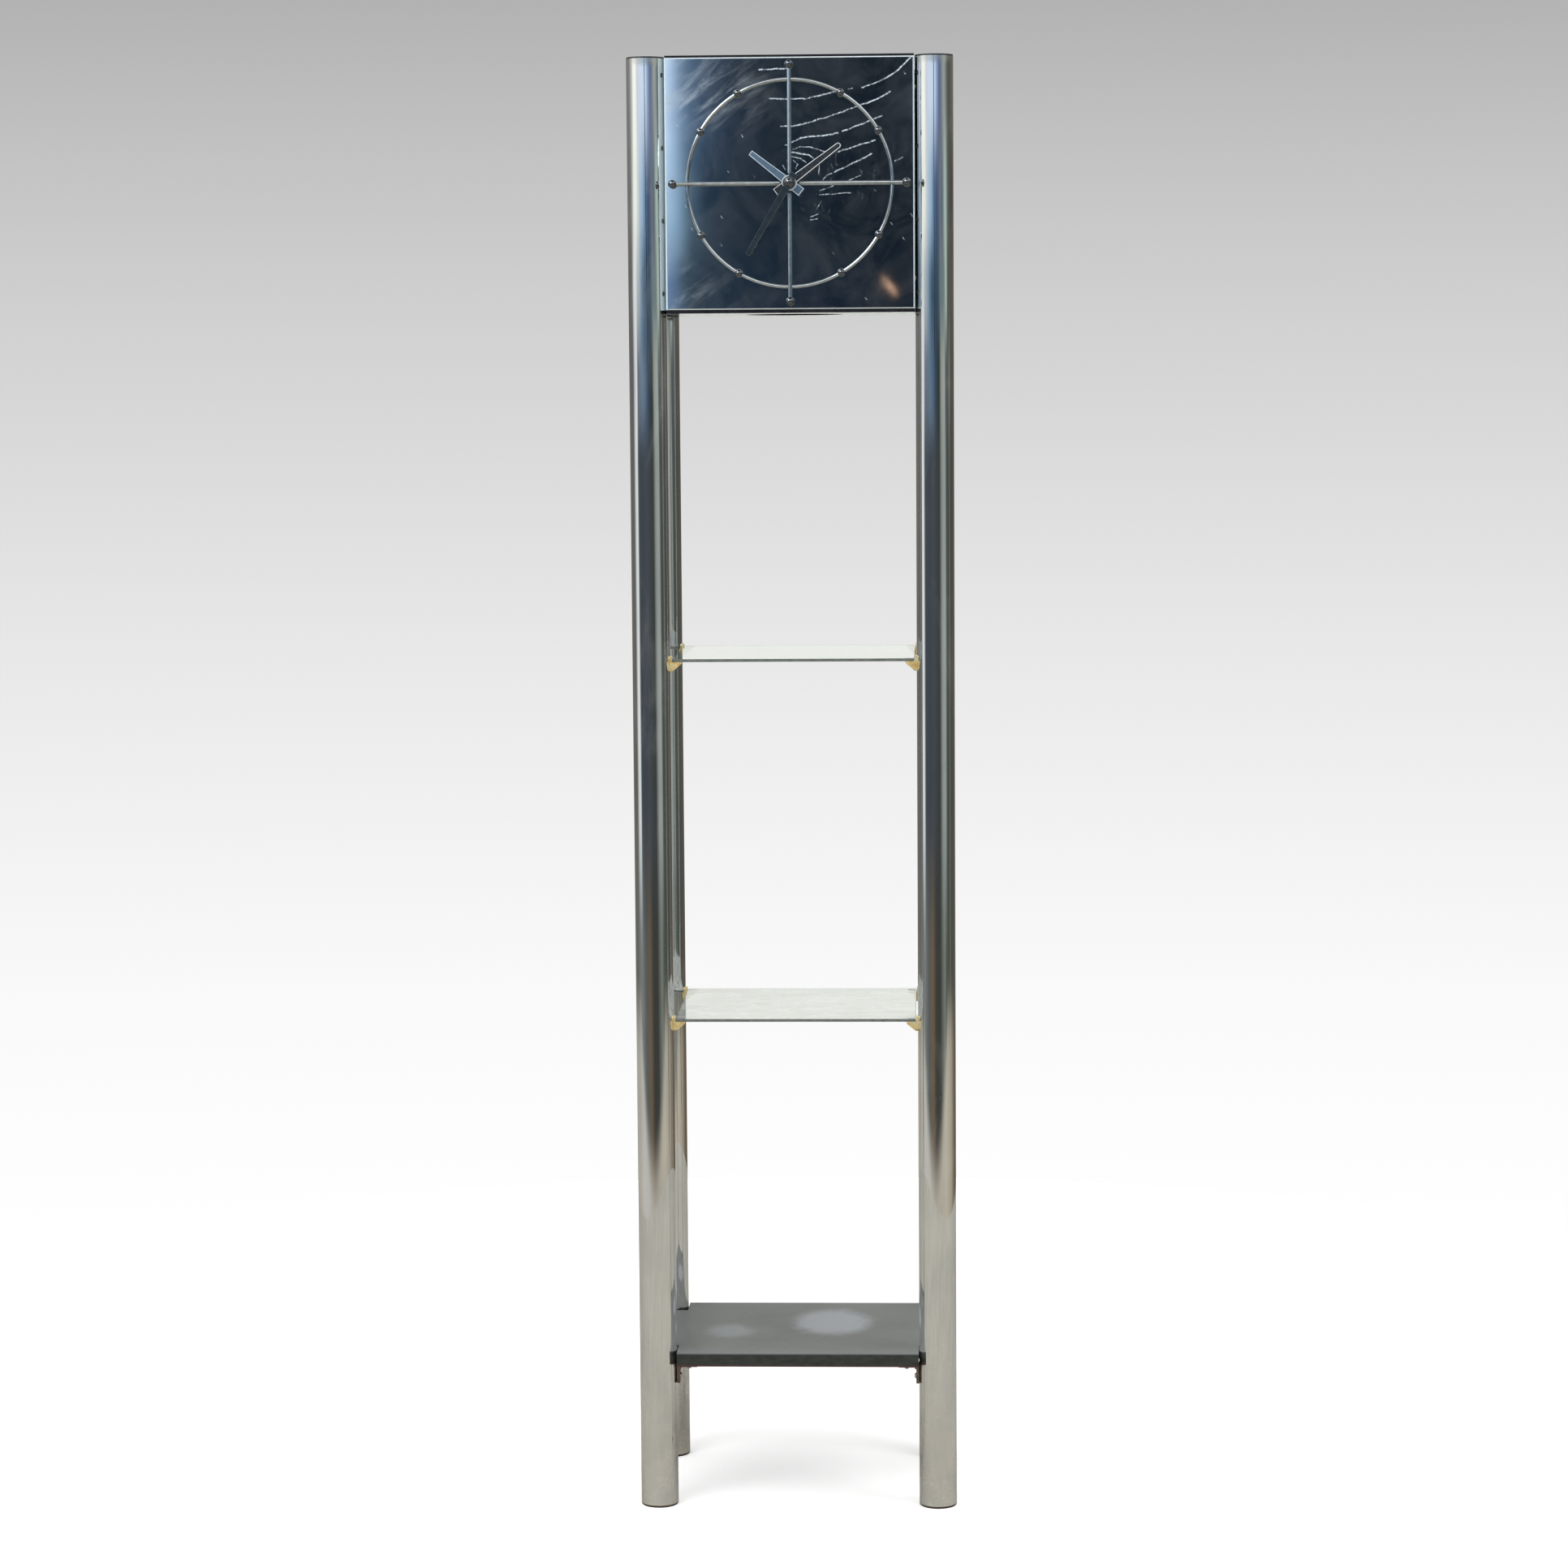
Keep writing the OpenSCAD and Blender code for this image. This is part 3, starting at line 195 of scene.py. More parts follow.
class Mat(Tree):
    """A material under construction, kept in MATS: its shader and the patterns that it is made of."""

    def __init__(self, name, **values):
        self.material = bpy.data.materials.new(name)
        self.material.use_nodes = True
        super().__init__(self.material.node_tree)
        self.shader = next(n for n in self.tree.nodes if n.type == "BSDF_PRINCIPLED")
        for key, value in values.items():
            self.shader.inputs[key.replace("_", " ")].default_value = value
        self.object_co = None
        MATS[name] = self

    def set(self, **sockets):
        for key, value in sockets.items():
            self.link(value, self.shader.inputs[key.replace("_", " ")])

    def co(self):
        if self.object_co is None:
            self.object_co = self.node("ShaderNodeTexCoord").outputs["Object"]
        return self.object_co

    def split(self, vector=None):
        return super().split(vector or self.co())

    def stretched(self, sx, sy, sz, vector=None):
        made = self.node("ShaderNodeMapping")
        made.inputs["Scale"].default_value = (sx, sy, sz)
        self.link(vector or self.co(), made.inputs["Vector"])
        return made.outputs["Vector"]

    def turned(self, degrees):
        made = self.node("ShaderNodeVectorRotate", rotation_type="Y_AXIS")
        made.inputs["Angle"].default_value = math.radians(degrees)
        self.link(self.co(), made.inputs["Vector"])
        return made.outputs["Vector"]

    def noise(self, scale, detail=3.0, rough=0.55, vector=None, distort=0.0):
        made = self.node("ShaderNodeTexNoise")
        made.inputs["Scale"].default_value = scale
        made.inputs["Detail"].default_value = detail
        made.inputs["Roughness"].default_value = rough
        made.inputs["Distortion"].default_value = distort
        self.link(vector or self.co(), made.inputs["Vector"])
        return made.outputs["Fac"]

    def voronoi(self, scale, vector=None, feature="F1"):
        made = self.node("ShaderNodeTexVoronoi", feature=feature)
        made.inputs["Scale"].default_value = scale
        self.link(vector or self.co(), made.inputs["Vector"])
        return made.outputs["Distance"]

    def grazing(self, a, b):
        """0 where the surface faces the view, 1 where it turns away from it."""
        made = self.node("ShaderNodeLayerWeight")
        made.inputs["Blend"].default_value = 0.5
        return self.smooth(made.outputs["Facing"], a, b)

    def bump(self, height, strength, distance):
        made = self.node("ShaderNodeBump")
        made.inputs["Strength"].default_value = strength
        made.inputs["Distance"].default_value = distance
        self.link(height, made.inputs["Height"])
        self.link(made.outputs["Normal"], self.shader.inputs["Normal"])


def scaled(colour, factor):
    return tuple(min(1.0, c * factor) for c in colour)


def polished(name, base, shade, smoothest, roughest, grain=(1, 1, 1)):
    """Polished metal with wiping marks, fine grain and a few dull spots."""
    m = Mat(name, Metallic=1.0)
    smear = m.noise(9.0, 5.0, 0.6, distort=0.6)
    grit = m.noise(900.0, 2.0, 0.5, m.stretched(*grain))
    spots = m.span(m.voronoi(55.0), 0.0, 0.06, 1.0, 0.0)
    m.set(Base_Color=m.ramp(smear, [(0.25, shade), (0.7, base)]))
    wiped = m.span(smear, 0.3, 0.75, smoothest, roughest)
    m.set(Roughness=m.math("ADD", wiped, m.math("MULTIPLY", spots, 0.03)))
    m.bump(grit, 0.02, 0.0002)


def plastic(name, base, rough, grain_scale, grain_depth, change=0.25):
    """Moulded plastic, rubber or lacquer with a fine grain and a colour that changes slightly."""
    m = Mat(name)
    cloud = m.noise(35.0, 4.0)
    m.set(Base_Color=m.ramp(cloud, [(0.3, scaled(base, 1 - change)), (0.7, scaled(base, 1 + change))]))
    m.set(Roughness=m.span(m.noise(140.0, 3.0), 0.3, 0.7, rough - 0.06, rough + 0.08))
    m.bump(m.noise(grain_scale, 3.0, 0.6), 0.35, grain_depth)


def metal(name, base, rough, grain=(1, 1, 1)):
    """Turned or rolled metal with its working marks along the grain."""
    m = Mat(name, Metallic=1.0)
    cloud = m.noise(60.0, 4.0, 0.6)
    m.set(Base_Color=m.ramp(cloud, [(0.3, scaled(base, 0.85)), (0.65, base)]))
    marks = m.noise(600.0, 2.0, 0.5, m.stretched(*grain))
    m.set(Roughness=m.span(marks, 0.3, 0.7, rough - 0.05, rough + 0.1))
    m.bump(marks, 0.12, 0.0001)


def plain_materials():
    polished("polished_sheet", (0.9, 0.91, 0.92), (0.82, 0.83, 0.85), 0.02, 0.07, (0.02, 1, 1))
    polished("cap_metal", (0.17, 0.17, 0.18), (0.11, 0.11, 0.12), 0.05, 0.1)
    plastic("black_trim", (0.02, 0.02, 0.022), 0.38, 900.0, 0.0001)
    plastic("black_panel", (0.012, 0.012, 0.014), 0.12, 300.0, 0.00002)
    plastic("brown_foot", (0.055, 0.03, 0.018), 0.55, 500.0, 0.0002)
    plastic("gasket_rubber", (0.02, 0.02, 0.02), 0.7, 700.0, 0.0001)
    plastic("housing_plastic", (0.03, 0.03, 0.032), 0.5, 1600.0, 0.00015)
    plastic("knob_plastic", (0.025, 0.025, 0.027), 0.45, 1500.0, 0.0001)
    plastic("wheel_plastic", (0.75, 0.72, 0.62), 0.4, 900.0, 0.00005, 0.08)
    plastic("rotor_magnet", (0.06, 0.06, 0.065), 0.35, 1200.0, 0.00005)
    metal("fastener_steel", (0.55, 0.55, 0.54), 0.28)
    metal("insert_brass", (0.78, 0.6, 0.28), 0.3)
    metal("core_steel", (0.35, 0.35, 0.36), 0.4, (1, 8, 1))
    metal("contact_spring", (0.7, 0.7, 0.68), 0.25)
    metal("arbor_steel", (0.72, 0.73, 0.75), 0.2, (1, 0.05, 1))
    metal("wheel_brass", (0.8, 0.64, 0.32), 0.28)


TUBE_TINTS = [(0.28, (0.8, 0.82, 0.82)), (0.5, (0.9, 0.9, 0.89)), (0.72, (0.95, 0.95, 0.94))]


def tube_chrome():
    """Mirror tube with long wiping streaks, dull specks, a painted highlight on its brushed top end (a pale
    cream flare) and a foot that is warmer and duller in patches.
    """
    m = Mat("polished_tube", Metallic=1.0)
    z = m.split()[2]
    streak = m.noise(55.0, 4.0, 0.6, m.stretched(1, 1, 0.05), 0.3)
    smear = m.noise(16.0, 5.0, 0.62, m.stretched(1, 1, 0.3), 0.9)
    speck = m.smooth(m.voronoi(48.0, m.stretched(1, 1, 0.6)), 0.0, 0.05, 1.0, 0.0)
    patch = m.smooth(m.noise(38.0, 5.0, 0.65), 0.42, 0.62)
    # warmer, duller patches over the lowest 30 cm of the tube, in colour, roughness and metal
    low_warm_patches = m.math("MULTIPLY", m.smooth(z, 0.0, 0.3, 0.85, 0.0), patch)
    # top: a painted highlight, a pale cream flare near the top end of the tube, which is also made rougher
    top = m.smooth(z, TUBE_TOP - 0.0148, TUBE_TOP - 0.0028)
    tint = m.mix(m.math("MULTIPLY", low_warm_patches, 0.6), m.ramp(smear, TUBE_TINTS), (0.66, 0.58, 0.47))
    # the top end's painted highlight, a pale cream flare, is mixed into the colour here
    m.set(Base_Color=m.mix(m.math("MULTIPLY", top, 0.4), tint, (0.98, 0.96, 0.88)))
    haze = m.math("ADD", m.span(streak, 0.3, 0.7, 0.012, 0.045), m.span(smear, 0.5, 0.8, 0.0, 0.05))
    worn = m.math("ADD", m.math("MULTIPLY", low_warm_patches, 0.3), m.math("MULTIPLY", top, 0.16))
    m.set(Roughness=m.math("ADD", m.math("ADD", haze, worn), m.math("MULTIPLY", speck, 0.08)))
    dust = m.math("ADD", m.span(smear, 0.55, 0.8, 0.0, 0.06), m.math("MULTIPLY", low_warm_patches, 0.3))
    m.set(Metallic=m.math("SUBTRACT", 1.0, dust))
    m.bump(m.noise(5.0, 2.0, 0.5, m.stretched(1, 1, 0.12)), 0.05, 0.002)


# Wiping marks and scratches on the face, as strokes in mm from the dial's centre, right and up
BRIGHT_STROKES = [
    [(-39, 148), (-19, 149), (-1, 150)],
    [(-26, 111), (-14, 110), (6, 110), (22, 110), (40, 114), (63, 119)],
    [(96, 124), (106, 127), (122, 133), (140, 143), (149, 152), (164, 165)],
    [(-11, 74), (10, 75), (33, 81), (56, 88), (90, 100), (115, 108), (133, 118)],
    [(3, 53), (15, 59), (28, 61), (49, 62), (64, 65)],
    [(70, 67), (94, 76), (122, 87)],
    [(3, 40), (15, 39), (26, 36), (34, 31)],
    [(64, 40), (81, 46), (113, 55)],
    [(59, 14), (72, 20), (109, 38)],
]
FAINT_STROKES = [
    [(78, 122), (83, 123)],
    [(-6, 50), (-2, 50)],
    [(5, 44), (13, 47), (26, 47), (38, 44), (47, 41)],
    [(3, 35), (14, 33), (22, 27)],
    [(43, 3), (49, 10), (56, 13)],
    [(39, 23), (38, 10)],
    [(78, 3), (93, 9)],
    [(139, 28), (149, 33)],
    [(40, -10), (58, -3)],
    [(40, -15), (81, -13)],
    [(27, -44), (38, -40)],
    [(27, -48), (36, -47)],
    [(41, -24), (35, -34)],
    [(-9, 24), (-6, 18)],
    [(-3, 30), (-1, 22)],
    [(5, 30), (11, 25), (8, 19)],
    [(14, 164), (31, 167)],
]
# Dull flecks on the face, in the same mm: each is one short slanting stroke
FLECKS = [
    (-158, 107), (-152, 107), (-149, 78), (-139, -27), (111, -8), (151, 144), (159, -41), (149, -72),
    (-63, 64), (-81, 17), (-48, 11), (133, -52), (-131, -57), (-91, -42), (-124, -52), (-92, -78),
    (99, -150), (56, -90),
]
FLECK_STROKES = [[(x, z), (x + 2.2, z - 3.0)] for x, z in FLECKS]
# Of each kind of stroke: half the width of its core, where its edge ends, and its strength
STROKE_KINDS = (
    (BRIGHT_STROKES, 0.1, 1.45, 0.85),
    (FAINT_STROKES, 0.0, 1.1, 0.6),
    (FLECK_STROKES, 0.0, 1.0, 0.4),
)

# The rubbed places of the face, in the same mm: centre, half sizes and softness of each
RUBBED = ((-96, 122), (58, 46), 0.7)
CORNER = ((-138, -146), (60, 36), 0.8)
CENTRE = ((44, 4), (62, 40), 0.5)


def place_on_face(m):
    """The place in mm from the dial's centre, shaken a little so that strokes aren't ruled lines."""
    shake = m.node("ShaderNodeTexNoise")
    shake.inputs["Scale"].default_value = 90.0
    m.link(m.co(), shake.inputs["Vector"])
    wobble = m.vec("SUBTRACT", m.vec("MULTIPLY", shake.outputs["Color"], (3.0, 0, 3.0)), (1.5, 0, 1.5))
    place = m.vec("MULTIPLY", m.vec("SUBTRACT", m.co(), (0, 0, DIAL_Z)), (1 / MM, 0, 1 / MM))
    return m.vec("ADD", place, wobble)


def distance_to(m, place, strokes):
    """The distance in mm from place to the nearest of the strokes."""
    nearest = None
    for stroke in strokes:
        for a, b in zip(stroke, stroke[1:]):
            start = Vector((a[0], 0, a[1]))
            along = Vector((b[0], 0, b[1])) - start
            offset = m.vec("SUBTRACT", place, start)
            reach = m.vec("DOT_PRODUCT", offset, along)
            share = m.clamp(m.math("MULTIPLY", reach, 1 / along.length_squared))
            gap = m.vec("DISTANCE", offset, m.vec("SCALE", along, share))
            nearest = gap if nearest is None else m.math("MINIMUM", nearest, gap)
    return nearest


def face_marks(m, place):
    """Wiping marks, scratches and flecks, each broken up along its length."""
    broken = m.smooth(m.noise(300.0, 4.0, 0.65), 0.4, 0.62, 0.2, 1.0)
    marks = []
    for strokes, core, edge, strength in STROKE_KINDS:
        line = m.smooth(distance_to(m, place, strokes), core, edge, strength, 0.0)
        marks.append(m.math("MULTIPLY", line, broken))
    bright, faint, flecks = marks
    return m.math("MAXIMUM", m.math("MAXIMUM", bright, faint), flecks)


def face_film(m, place):
    """A thin uneven film, thicker where the face was rubbed."""
    x, _, z = m.split(place)
    brushed = m.stretched(0.22, 1, 1, m.turned(38))
    cloud = m.smooth(m.noise(48.0, 6.0, 0.66, brushed, 0.9), 0.42, 0.74)
    rubbed = m.math("MULTIPLY", m.oval(x, z, *RUBBED), cloud)
    corner = m.math("MULTIPLY", m.oval(x, z, *CORNER), cloud)
    swirl = m.smooth(m.noise(120.0, 5.0, 0.65, m.stretched(1, 1, 0.35), 1.5), 0.56, 0.7)
    centre = m.math("MULTIPLY", m.oval(x, z, *CENTRE), swirl)
    film = m.span(m.noise(13.0, 7.0, 0.7, distort=1.1), 0.38, 0.72, 0.0005, 0.026)
    for patch, amount in ((rubbed, 0.13), (corner, 0.07), (centre, 0.08)):
        film = m.math("ADD", film, m.math("MULTIPLY", patch, amount))
    return film


def face_fold_highlights(m):
    """Painted highlights on the folded edges of the sheet: pale lines, stronger towards the left, on the right
    side only at the front.
    """
    x, y, z = m.split()
    sides = m.smooth(m.math("ABSOLUTE", x), FACE_HALF - 0.0026, FACE_HALF - 0.0016)
    # painted highlight, stronger on the left and weaker on the right
    sides = m.math("MULTIPLY", sides, m.span(x, -0.1, 0.1, 0.85, 0.45))
    at_front = m.smooth(y, FACE_FRONT + 0.0006, FACE_FRONT + 0.0014, 1.0, 0.0)
    on_left = m.smooth(x, -0.05, 0.05, 1.0, 0.0)
    sides = m.math("MULTIPLY", sides, m.math("MAXIMUM", at_front, on_left))
    top = m.smooth(z, FACE_HIGH - 0.0022, FACE_HIGH - 0.0014, 0.0, 0.45)
    bottom = m.smooth(z, FACE_LOW + 0.0014, FACE_LOW + 0.0022, 0.3, 0.0)
    return m.math("MAXIMUM", sides, m.math("MAXIMUM", top, bottom))


def face_chrome():
    """Mirror sheet under a thin film, with the wiping marks, scratches and dull flecks of long use, and
    painted highlights along its folded edges.
    """
    m = Mat("polished_face")
    place = place_on_face(m)
    marks = face_marks(m, place)
    film = face_film(m, place)
    fold_highlights = face_fold_highlights(m)
    # the painted edge highlights are laid on with the film and the marks, as a pale and duller layer
    film_marks_and_edge_highlights = m.math("MAXIMUM", m.math("MAXIMUM", film, fold_highlights), m.math("MULTIPLY", marks, 0.78))
    m.set(Base_Color=m.mix(film_marks_and_edge_highlights, (0.94, 0.98, 0.99), (0.56, 0.71, 0.79)))
    m.set(Metallic=m.math("SUBTRACT", 1.0, film_marks_and_edge_highlights))
    m.set(Roughness=m.math("ADD", m.math("MULTIPLY", film_marks_and_edge_highlights, 0.5), 0.015))
    m.bump(m.noise(7.0, 2.0, 0.5), 0.05, 0.001)


def dial_balls(m):
    """1 on the balls of the ring and the rods, 0 on the wire."""
    x, y, z = m.split()
    up = m.math("SUBTRACT", z, DIAL_Z)
    r = m.math("SQRT", m.math("ADD", m.math("MULTIPLY", x, x), m.math("MULTIPLY", up, up)))
    to_axis = m.math("MINIMUM", m.math("ABSOLUTE", x), m.math("ABSOLUTE", up))
    clear = WIRE_R + 0.0003
    beside = m.smooth(m.math("ABSOLUTE", m.math("SUBTRACT", r, RING_R)), WIRE_R, clear)
    before = m.smooth(y, RING_Y - clear, RING_Y - WIRE_R, 1.0, 0.0)
    off_wire = m.math("MAXIMUM", beside, before)
    ring_ball = m.math("MULTIPLY", off_wire, m.smooth(to_axis, 0.006, 0.008))
    rod_ball = m.smooth(r, ROD_END - 0.0116, ROD_END - 0.011)
    return m.math("MAXIMUM", ring_ball, rod_ball)


def dial_chrome():
    """Plated wire, with the balls along it glassier and painted dark as shade for the dark room that they
    mirror, and painted shade at the rims of both, where they turn from the view.
    """
    m = Mat("dial_chrome", Metallic=1.0)
    ball = dial_balls(m)
    worn = m.noise(150.0, 4.0, 0.6)
    wire = m.ramp(worn, [(0.3, (0.5, 0.55, 0.58)), (0.7, (0.68, 0.74, 0.78))])
    # painted shade: the wire and the balls darkened where they turn away from the view
    rim = m.math("MULTIPLY", m.grazing(0.15, 0.6), 0.85)
    # the balls' dark colour is painted shade, standing in for the dark room that they mirror
    m.set(Base_Color=m.mix(rim, m.mix(ball, wire, (0.15, 0.165, 0.18)), (0.04, 0.045, 0.05)))
    dull = m.span(worn, 0.3, 0.7, 0.05, 0.14)
    m.set(Roughness=m.math("SUBTRACT", dull, m.math("MULTIPLY", ball, 0.04)))
    m.bump(m.noise(900.0), 0.03, 0.0001)


COIL_TURN = 0.0005
JACKET_END = 0.0055


def coil_wire():
    """Lacquered copper wire, wound in fine turns."""
    m = Mat("coil_wire", Metallic=0.7, Roughness=0.3)
    x = m.split()[0]
    turns = m.math("SINE", m.math("MULTIPLY", x, 2 * math.pi / COIL_TURN))
    m.set(Base_Color=m.ramp(m.noise(200.0), [(0.3, (0.42, 0.13, 0.03)), (0.7, (0.62, 0.24, 0.07))]))
    m.bump(turns, 0.5, 0.0002)


def board():
    """Green circuit board with the raised pattern of its tracks."""
    m = Mat("board", Roughness=0.35)
    tracks = m.span(m.voronoi(420.0, feature="DISTANCE_TO_EDGE"), 0.03, 0.06, 1.0, 0.0)
    m.set(Base_Color=m.mix(tracks, (0.02, 0.11, 0.05), (0.05, 0.22, 0.1)))
    m.bump(tracks, 0.2, 0.0001)


def cell_jacket():
    """Dark jacket of the cell, copper-coloured at one end."""
    m = Mat("cell_jacket", Metallic=0.8, Roughness=0.3)
    x = m.split()[0]
    band = m.span(x, JACKET_END, JACKET_END + 0.0003, 0.0, 1.0)
    m.set(Base_Color=m.mix(band, (0.02, 0.02, 0.022), (0.62, 0.4, 0.16)))
    m.bump(m.noise(500.0), 0.05, 0.0001)


WOOD_TINTS = [(0.3, (0.3, 0.17, 0.08)), (0.55, (0.5, 0.32, 0.17)), (0.75, (0.6, 0.42, 0.24))]


def batten_wood():
    """Plain wood with its grain upright."""
    m = Mat("batten_wood", Roughness=0.75)
    grain = m.noise(70.0, 5.0, 0.6, m.stretched(1, 1, 0.05), 1.5)
    m.set(Base_Color=m.ramp(grain, WOOD_TINTS))
    m.bump(grain, 0.4, 0.0006)


def shelf_glass():
    """Clear plate with wiping haze, smudged on the lower shelf, and grey-green ground edges."""
    m = Mat("shelf_glass", IOR=1.52)
    normal = m.node("ShaderNodeNewGeometry").outputs["True Normal"]
    side = m.smooth(m.math("ABSOLUTE", m.split(normal)[2]), 0.5, 0.8, 1.0, 0.0)
    smear = m.noise(14.0, 5.0, 0.6, distort=0.8)
    haze = m.smooth(m.noise(9.0, 6.0, 0.66, m.stretched(1, 1.6, 1), 1.4), 0.48, 0.75, 0.04, 0.22)
    clear = m.ramp(smear, [(0.3, (0.92, 0.96, 0.93)), (0.7, (0.96, 0.99, 0.97))])
    lower = m.smooth(m.split()[2], BETWEEN_SHELVES - 0.05, BETWEEN_SHELVES + 0.05, 1.0, 0.0)
    smudge = m.smooth(m.noise(16.0, 5.0, 0.64, m.stretched(1, 2.2, 1), 0.9), 0.4, 0.66, 0.16, 0.46)
    haze = m.math("MAXIMUM", haze, m.math("MULTIPLY", smudge, lower))
    dusty = m.mix(haze, clear, m.mix(lower, (0.9, 0.92, 0.87), (0.7, 0.69, 0.61)))
    ground = m.ramp(m.noise(160.0, 3.0), [(0.3, (0.12, 0.14, 0.12)), (0.7, (0.2, 0.22, 0.2))])
    m.set(Base_Color=m.mix(side, dusty, ground))
    loss = m.math("MAXIMUM", haze, m.math("MULTIPLY", side, 0.85))
    m.set(Transmission_Weight=m.math("SUBTRACT", 1.0, loss))
    m.set(Roughness=m.math("ADD", m.span(smear, 0.45, 0.8, 0.0, 0.04), m.math("MULTIPLY", side, 0.2)))


CLIP_TINTS = [(0.34, (0.72, 0.45, 0.16)), (0.5, (0.93, 0.74, 0.34)), (0.66, (0.98, 0.9, 0.58))]


def clip_brass():
    """Thin brass plating, worn from pale to orange in patches."""
    m = Mat("clip_brass", Metallic=0.55)
    worn = m.noise(120.0, 5.0, 0.65)
    m.set(Base_Color=m.ramp(worn, CLIP_TINTS))
    m.set(Roughness=m.span(worn, 0.3, 0.7, 0.42, 0.24))
    m.bump(m.noise(700.0), 0.2, 0.0002)


# The two pale rubbed patches on the base board, in metres from the clock's middle: centre and half sizes
LARGE_PATCH = ((0.043, 0.044), (0.052, 0.07))
SMALL_PATCH = ((-0.097, -0.007), (0.03, 0.032))


def board_top(m, x, y, scuff):
    """The dusty top of the base board, with painted shade at its left end by the left post, bluer at its
    front, with its two patches.
    """
    dust = m.noise(7.0, 5.0, 0.6, distort=0.4)
    ragged = m.math("MULTIPLY", m.math("SUBTRACT", m.noise(30.0, 5.0, 0.65), 0.5), 0.03)
    rx, ry = m.math("ADD", x, ragged), m.math("ADD", y, ragged)
    face = m.ramp(dust, [(0.3, (0.085, 0.09, 0.085)), (0.7, (0.13, 0.138, 0.134))])
    face = m.mix(m.math("MULTIPLY", scuff, 0.3), face, (0.24, 0.25, 0.25))
    # painted shade: the left end of the top, beside the left post, darkened
    face = m.mix(m.smooth(x, -0.165, -0.1, 0.55, 0.0), face, (0.045, 0.05, 0.045))
    face = m.mix(m.smooth(y, BASE_FRONT, BASE_FRONT + 0.05, 0.4, 0.0), face, (0.15, 0.165, 0.18))
    large = m.math("MULTIPLY", m.oval(rx, ry, *LARGE_PATCH, 0.3), 0.85)
    small = m.math("MULTIPLY", m.oval(rx, ry, *SMALL_PATCH, 0.55), 0.5)
    return m.mix(m.math("MAXIMUM", large, small), face, (0.28, 0.3, 0.325))


def board_edge(m, z, below_top):
    """The dark edge of the base board, reddish along the bottom, with a pale line just under the top."""
    uneven = m.noise(60.0, 4.0, 0.6, m.stretched(1, 1, 3))
    edge = m.ramp(uneven, [(0.35, (0.018, 0.022, 0.018)), (0.7, (0.04, 0.045, 0.038))])
    foot = m.smooth(z, BASE_TOP - 0.0172, BASE_TOP - 0.0158, 0.8, 0.0)
    edge = m.mix(foot, edge, (0.09, 0.028, 0.024))
    arris = m.math("MULTIPLY", m.smooth(z, BASE_TOP - 0.0014, BASE_TOP - 0.0008), below_top)
    return m.mix(m.math("MULTIPLY", arris, 0.6), edge, (0.3, 0.33, 0.35))


def base_board():
    """Satin board: a scuffed, dusty top with two pale rubbed patches, dark edges and a bright arris."""
    m = Mat("base_board")
    x, y, z = m.split()
    top = m.smooth(z, BASE_TOP - 0.001, BASE_TOP - 0.0004)
    below_top = m.math("SUBTRACT", 1.0, top)
    scuff = m.smooth(m.noise(26.0, 6.0, 0.68, m.stretched(1, 0.6, 1), 0.6), 0.56, 0.72)
    m.set(Base_Color=m.mix(top, board_edge(m, z, below_top), board_top(m, x, y, scuff)))
    dull = m.span(scuff, 0.0, 1.0, 0.42, 0.6)
    m.set(Roughness=m.math("SUBTRACT", dull, m.math("MULTIPLY", below_top, 0.05)))
    m.bump(m.noise(1200.0, 2.0), 0.12, 0.0002)


def bracket_paint():
    """Olive brown paint, worn in patches."""
    m = Mat("bracket_paint", Metallic=0.3)
    worn = m.noise(90.0, 5.0, 0.65)
    m.set(Base_Color=m.ramp(worn, [(0.35, (0.09, 0.055, 0.04)), (0.7, (0.24, 0.17, 0.12))]))
    m.set(Roughness=m.span(worn, 0.3, 0.7, 0.35, 0.6))
    m.bump(m.noise(500.0), 0.3, 0.0002)


def hand_metal(hand, channel, rim_highlight_colour, rough):
    """A hand's channel between its raised rims, coloured as painted light: a painted reflection of the room in
    the channel and a painted highlight on the rims.
    """
    m = Mat(hand + "_metal")
    front = span_of(hand, 1)[0]
    rim = m.smooth(m.split()[1], front + HAND_RIM * 0.3, front + HAND_RIM * 0.7, 1.0, 0.0)
    cloud = m.noise(70.0, 4.0, 0.6)
    # the channel's colour is a painted reflection of the room around the hand
    fill = m.ramp(cloud, [(0.3, scaled(channel, 0.75)), (0.7, channel)])
    # the rims' lighter colour is a painted highlight, uneven along them
    rim_highlight = m.ramp(cloud, [(0.3, scaled(rim_highlight_colour, 0.7)), (0.6, rim_highlight_colour)])
    m.set(Base_Color=m.mix(rim, fill, rim_highlight))
    m.set(Metallic=m.span(rim, 0.0, 1.0, 0.6, 0.3))
    brush = m.noise(500.0, 2.0, 0.5)
    m.set(Roughness=m.span(brush, 0.3, 0.7, rough - 0.05, rough + 0.08))
    m.bump(brush, 0.1, 0.0001)


def make_materials():
    plain_materials()
    tube_chrome()
    face_chrome()
    dial_chrome()
    coil_wire()
    board()
    cell_jacket()
    batten_wood()
    shelf_glass()
    clip_brass()
    base_board()
    bracket_paint()
    # each hand: the painted reflection in its channel, the painted highlight on its rims, and its roughness
    hand_metal("hour_hand", (0.15, 0.24, 0.34), (0.66, 0.76, 0.84), 0.3)
    hand_metal("minute_hand", (0.05, 0.06, 0.07), (0.8, 0.83, 0.83), 0.25)
    hand_metal("second_hand", (0.035, 0.05, 0.065), (0.05, 0.075, 0.095), 0.3)


def dress_pieces():
    for name, obj in NODES.items():
        material = MATS[SLOT_OF[name]].material
        if not obj.material_slots:
            obj.data.materials.append(material)
        for slot in obj.material_slots:
            slot.material = material


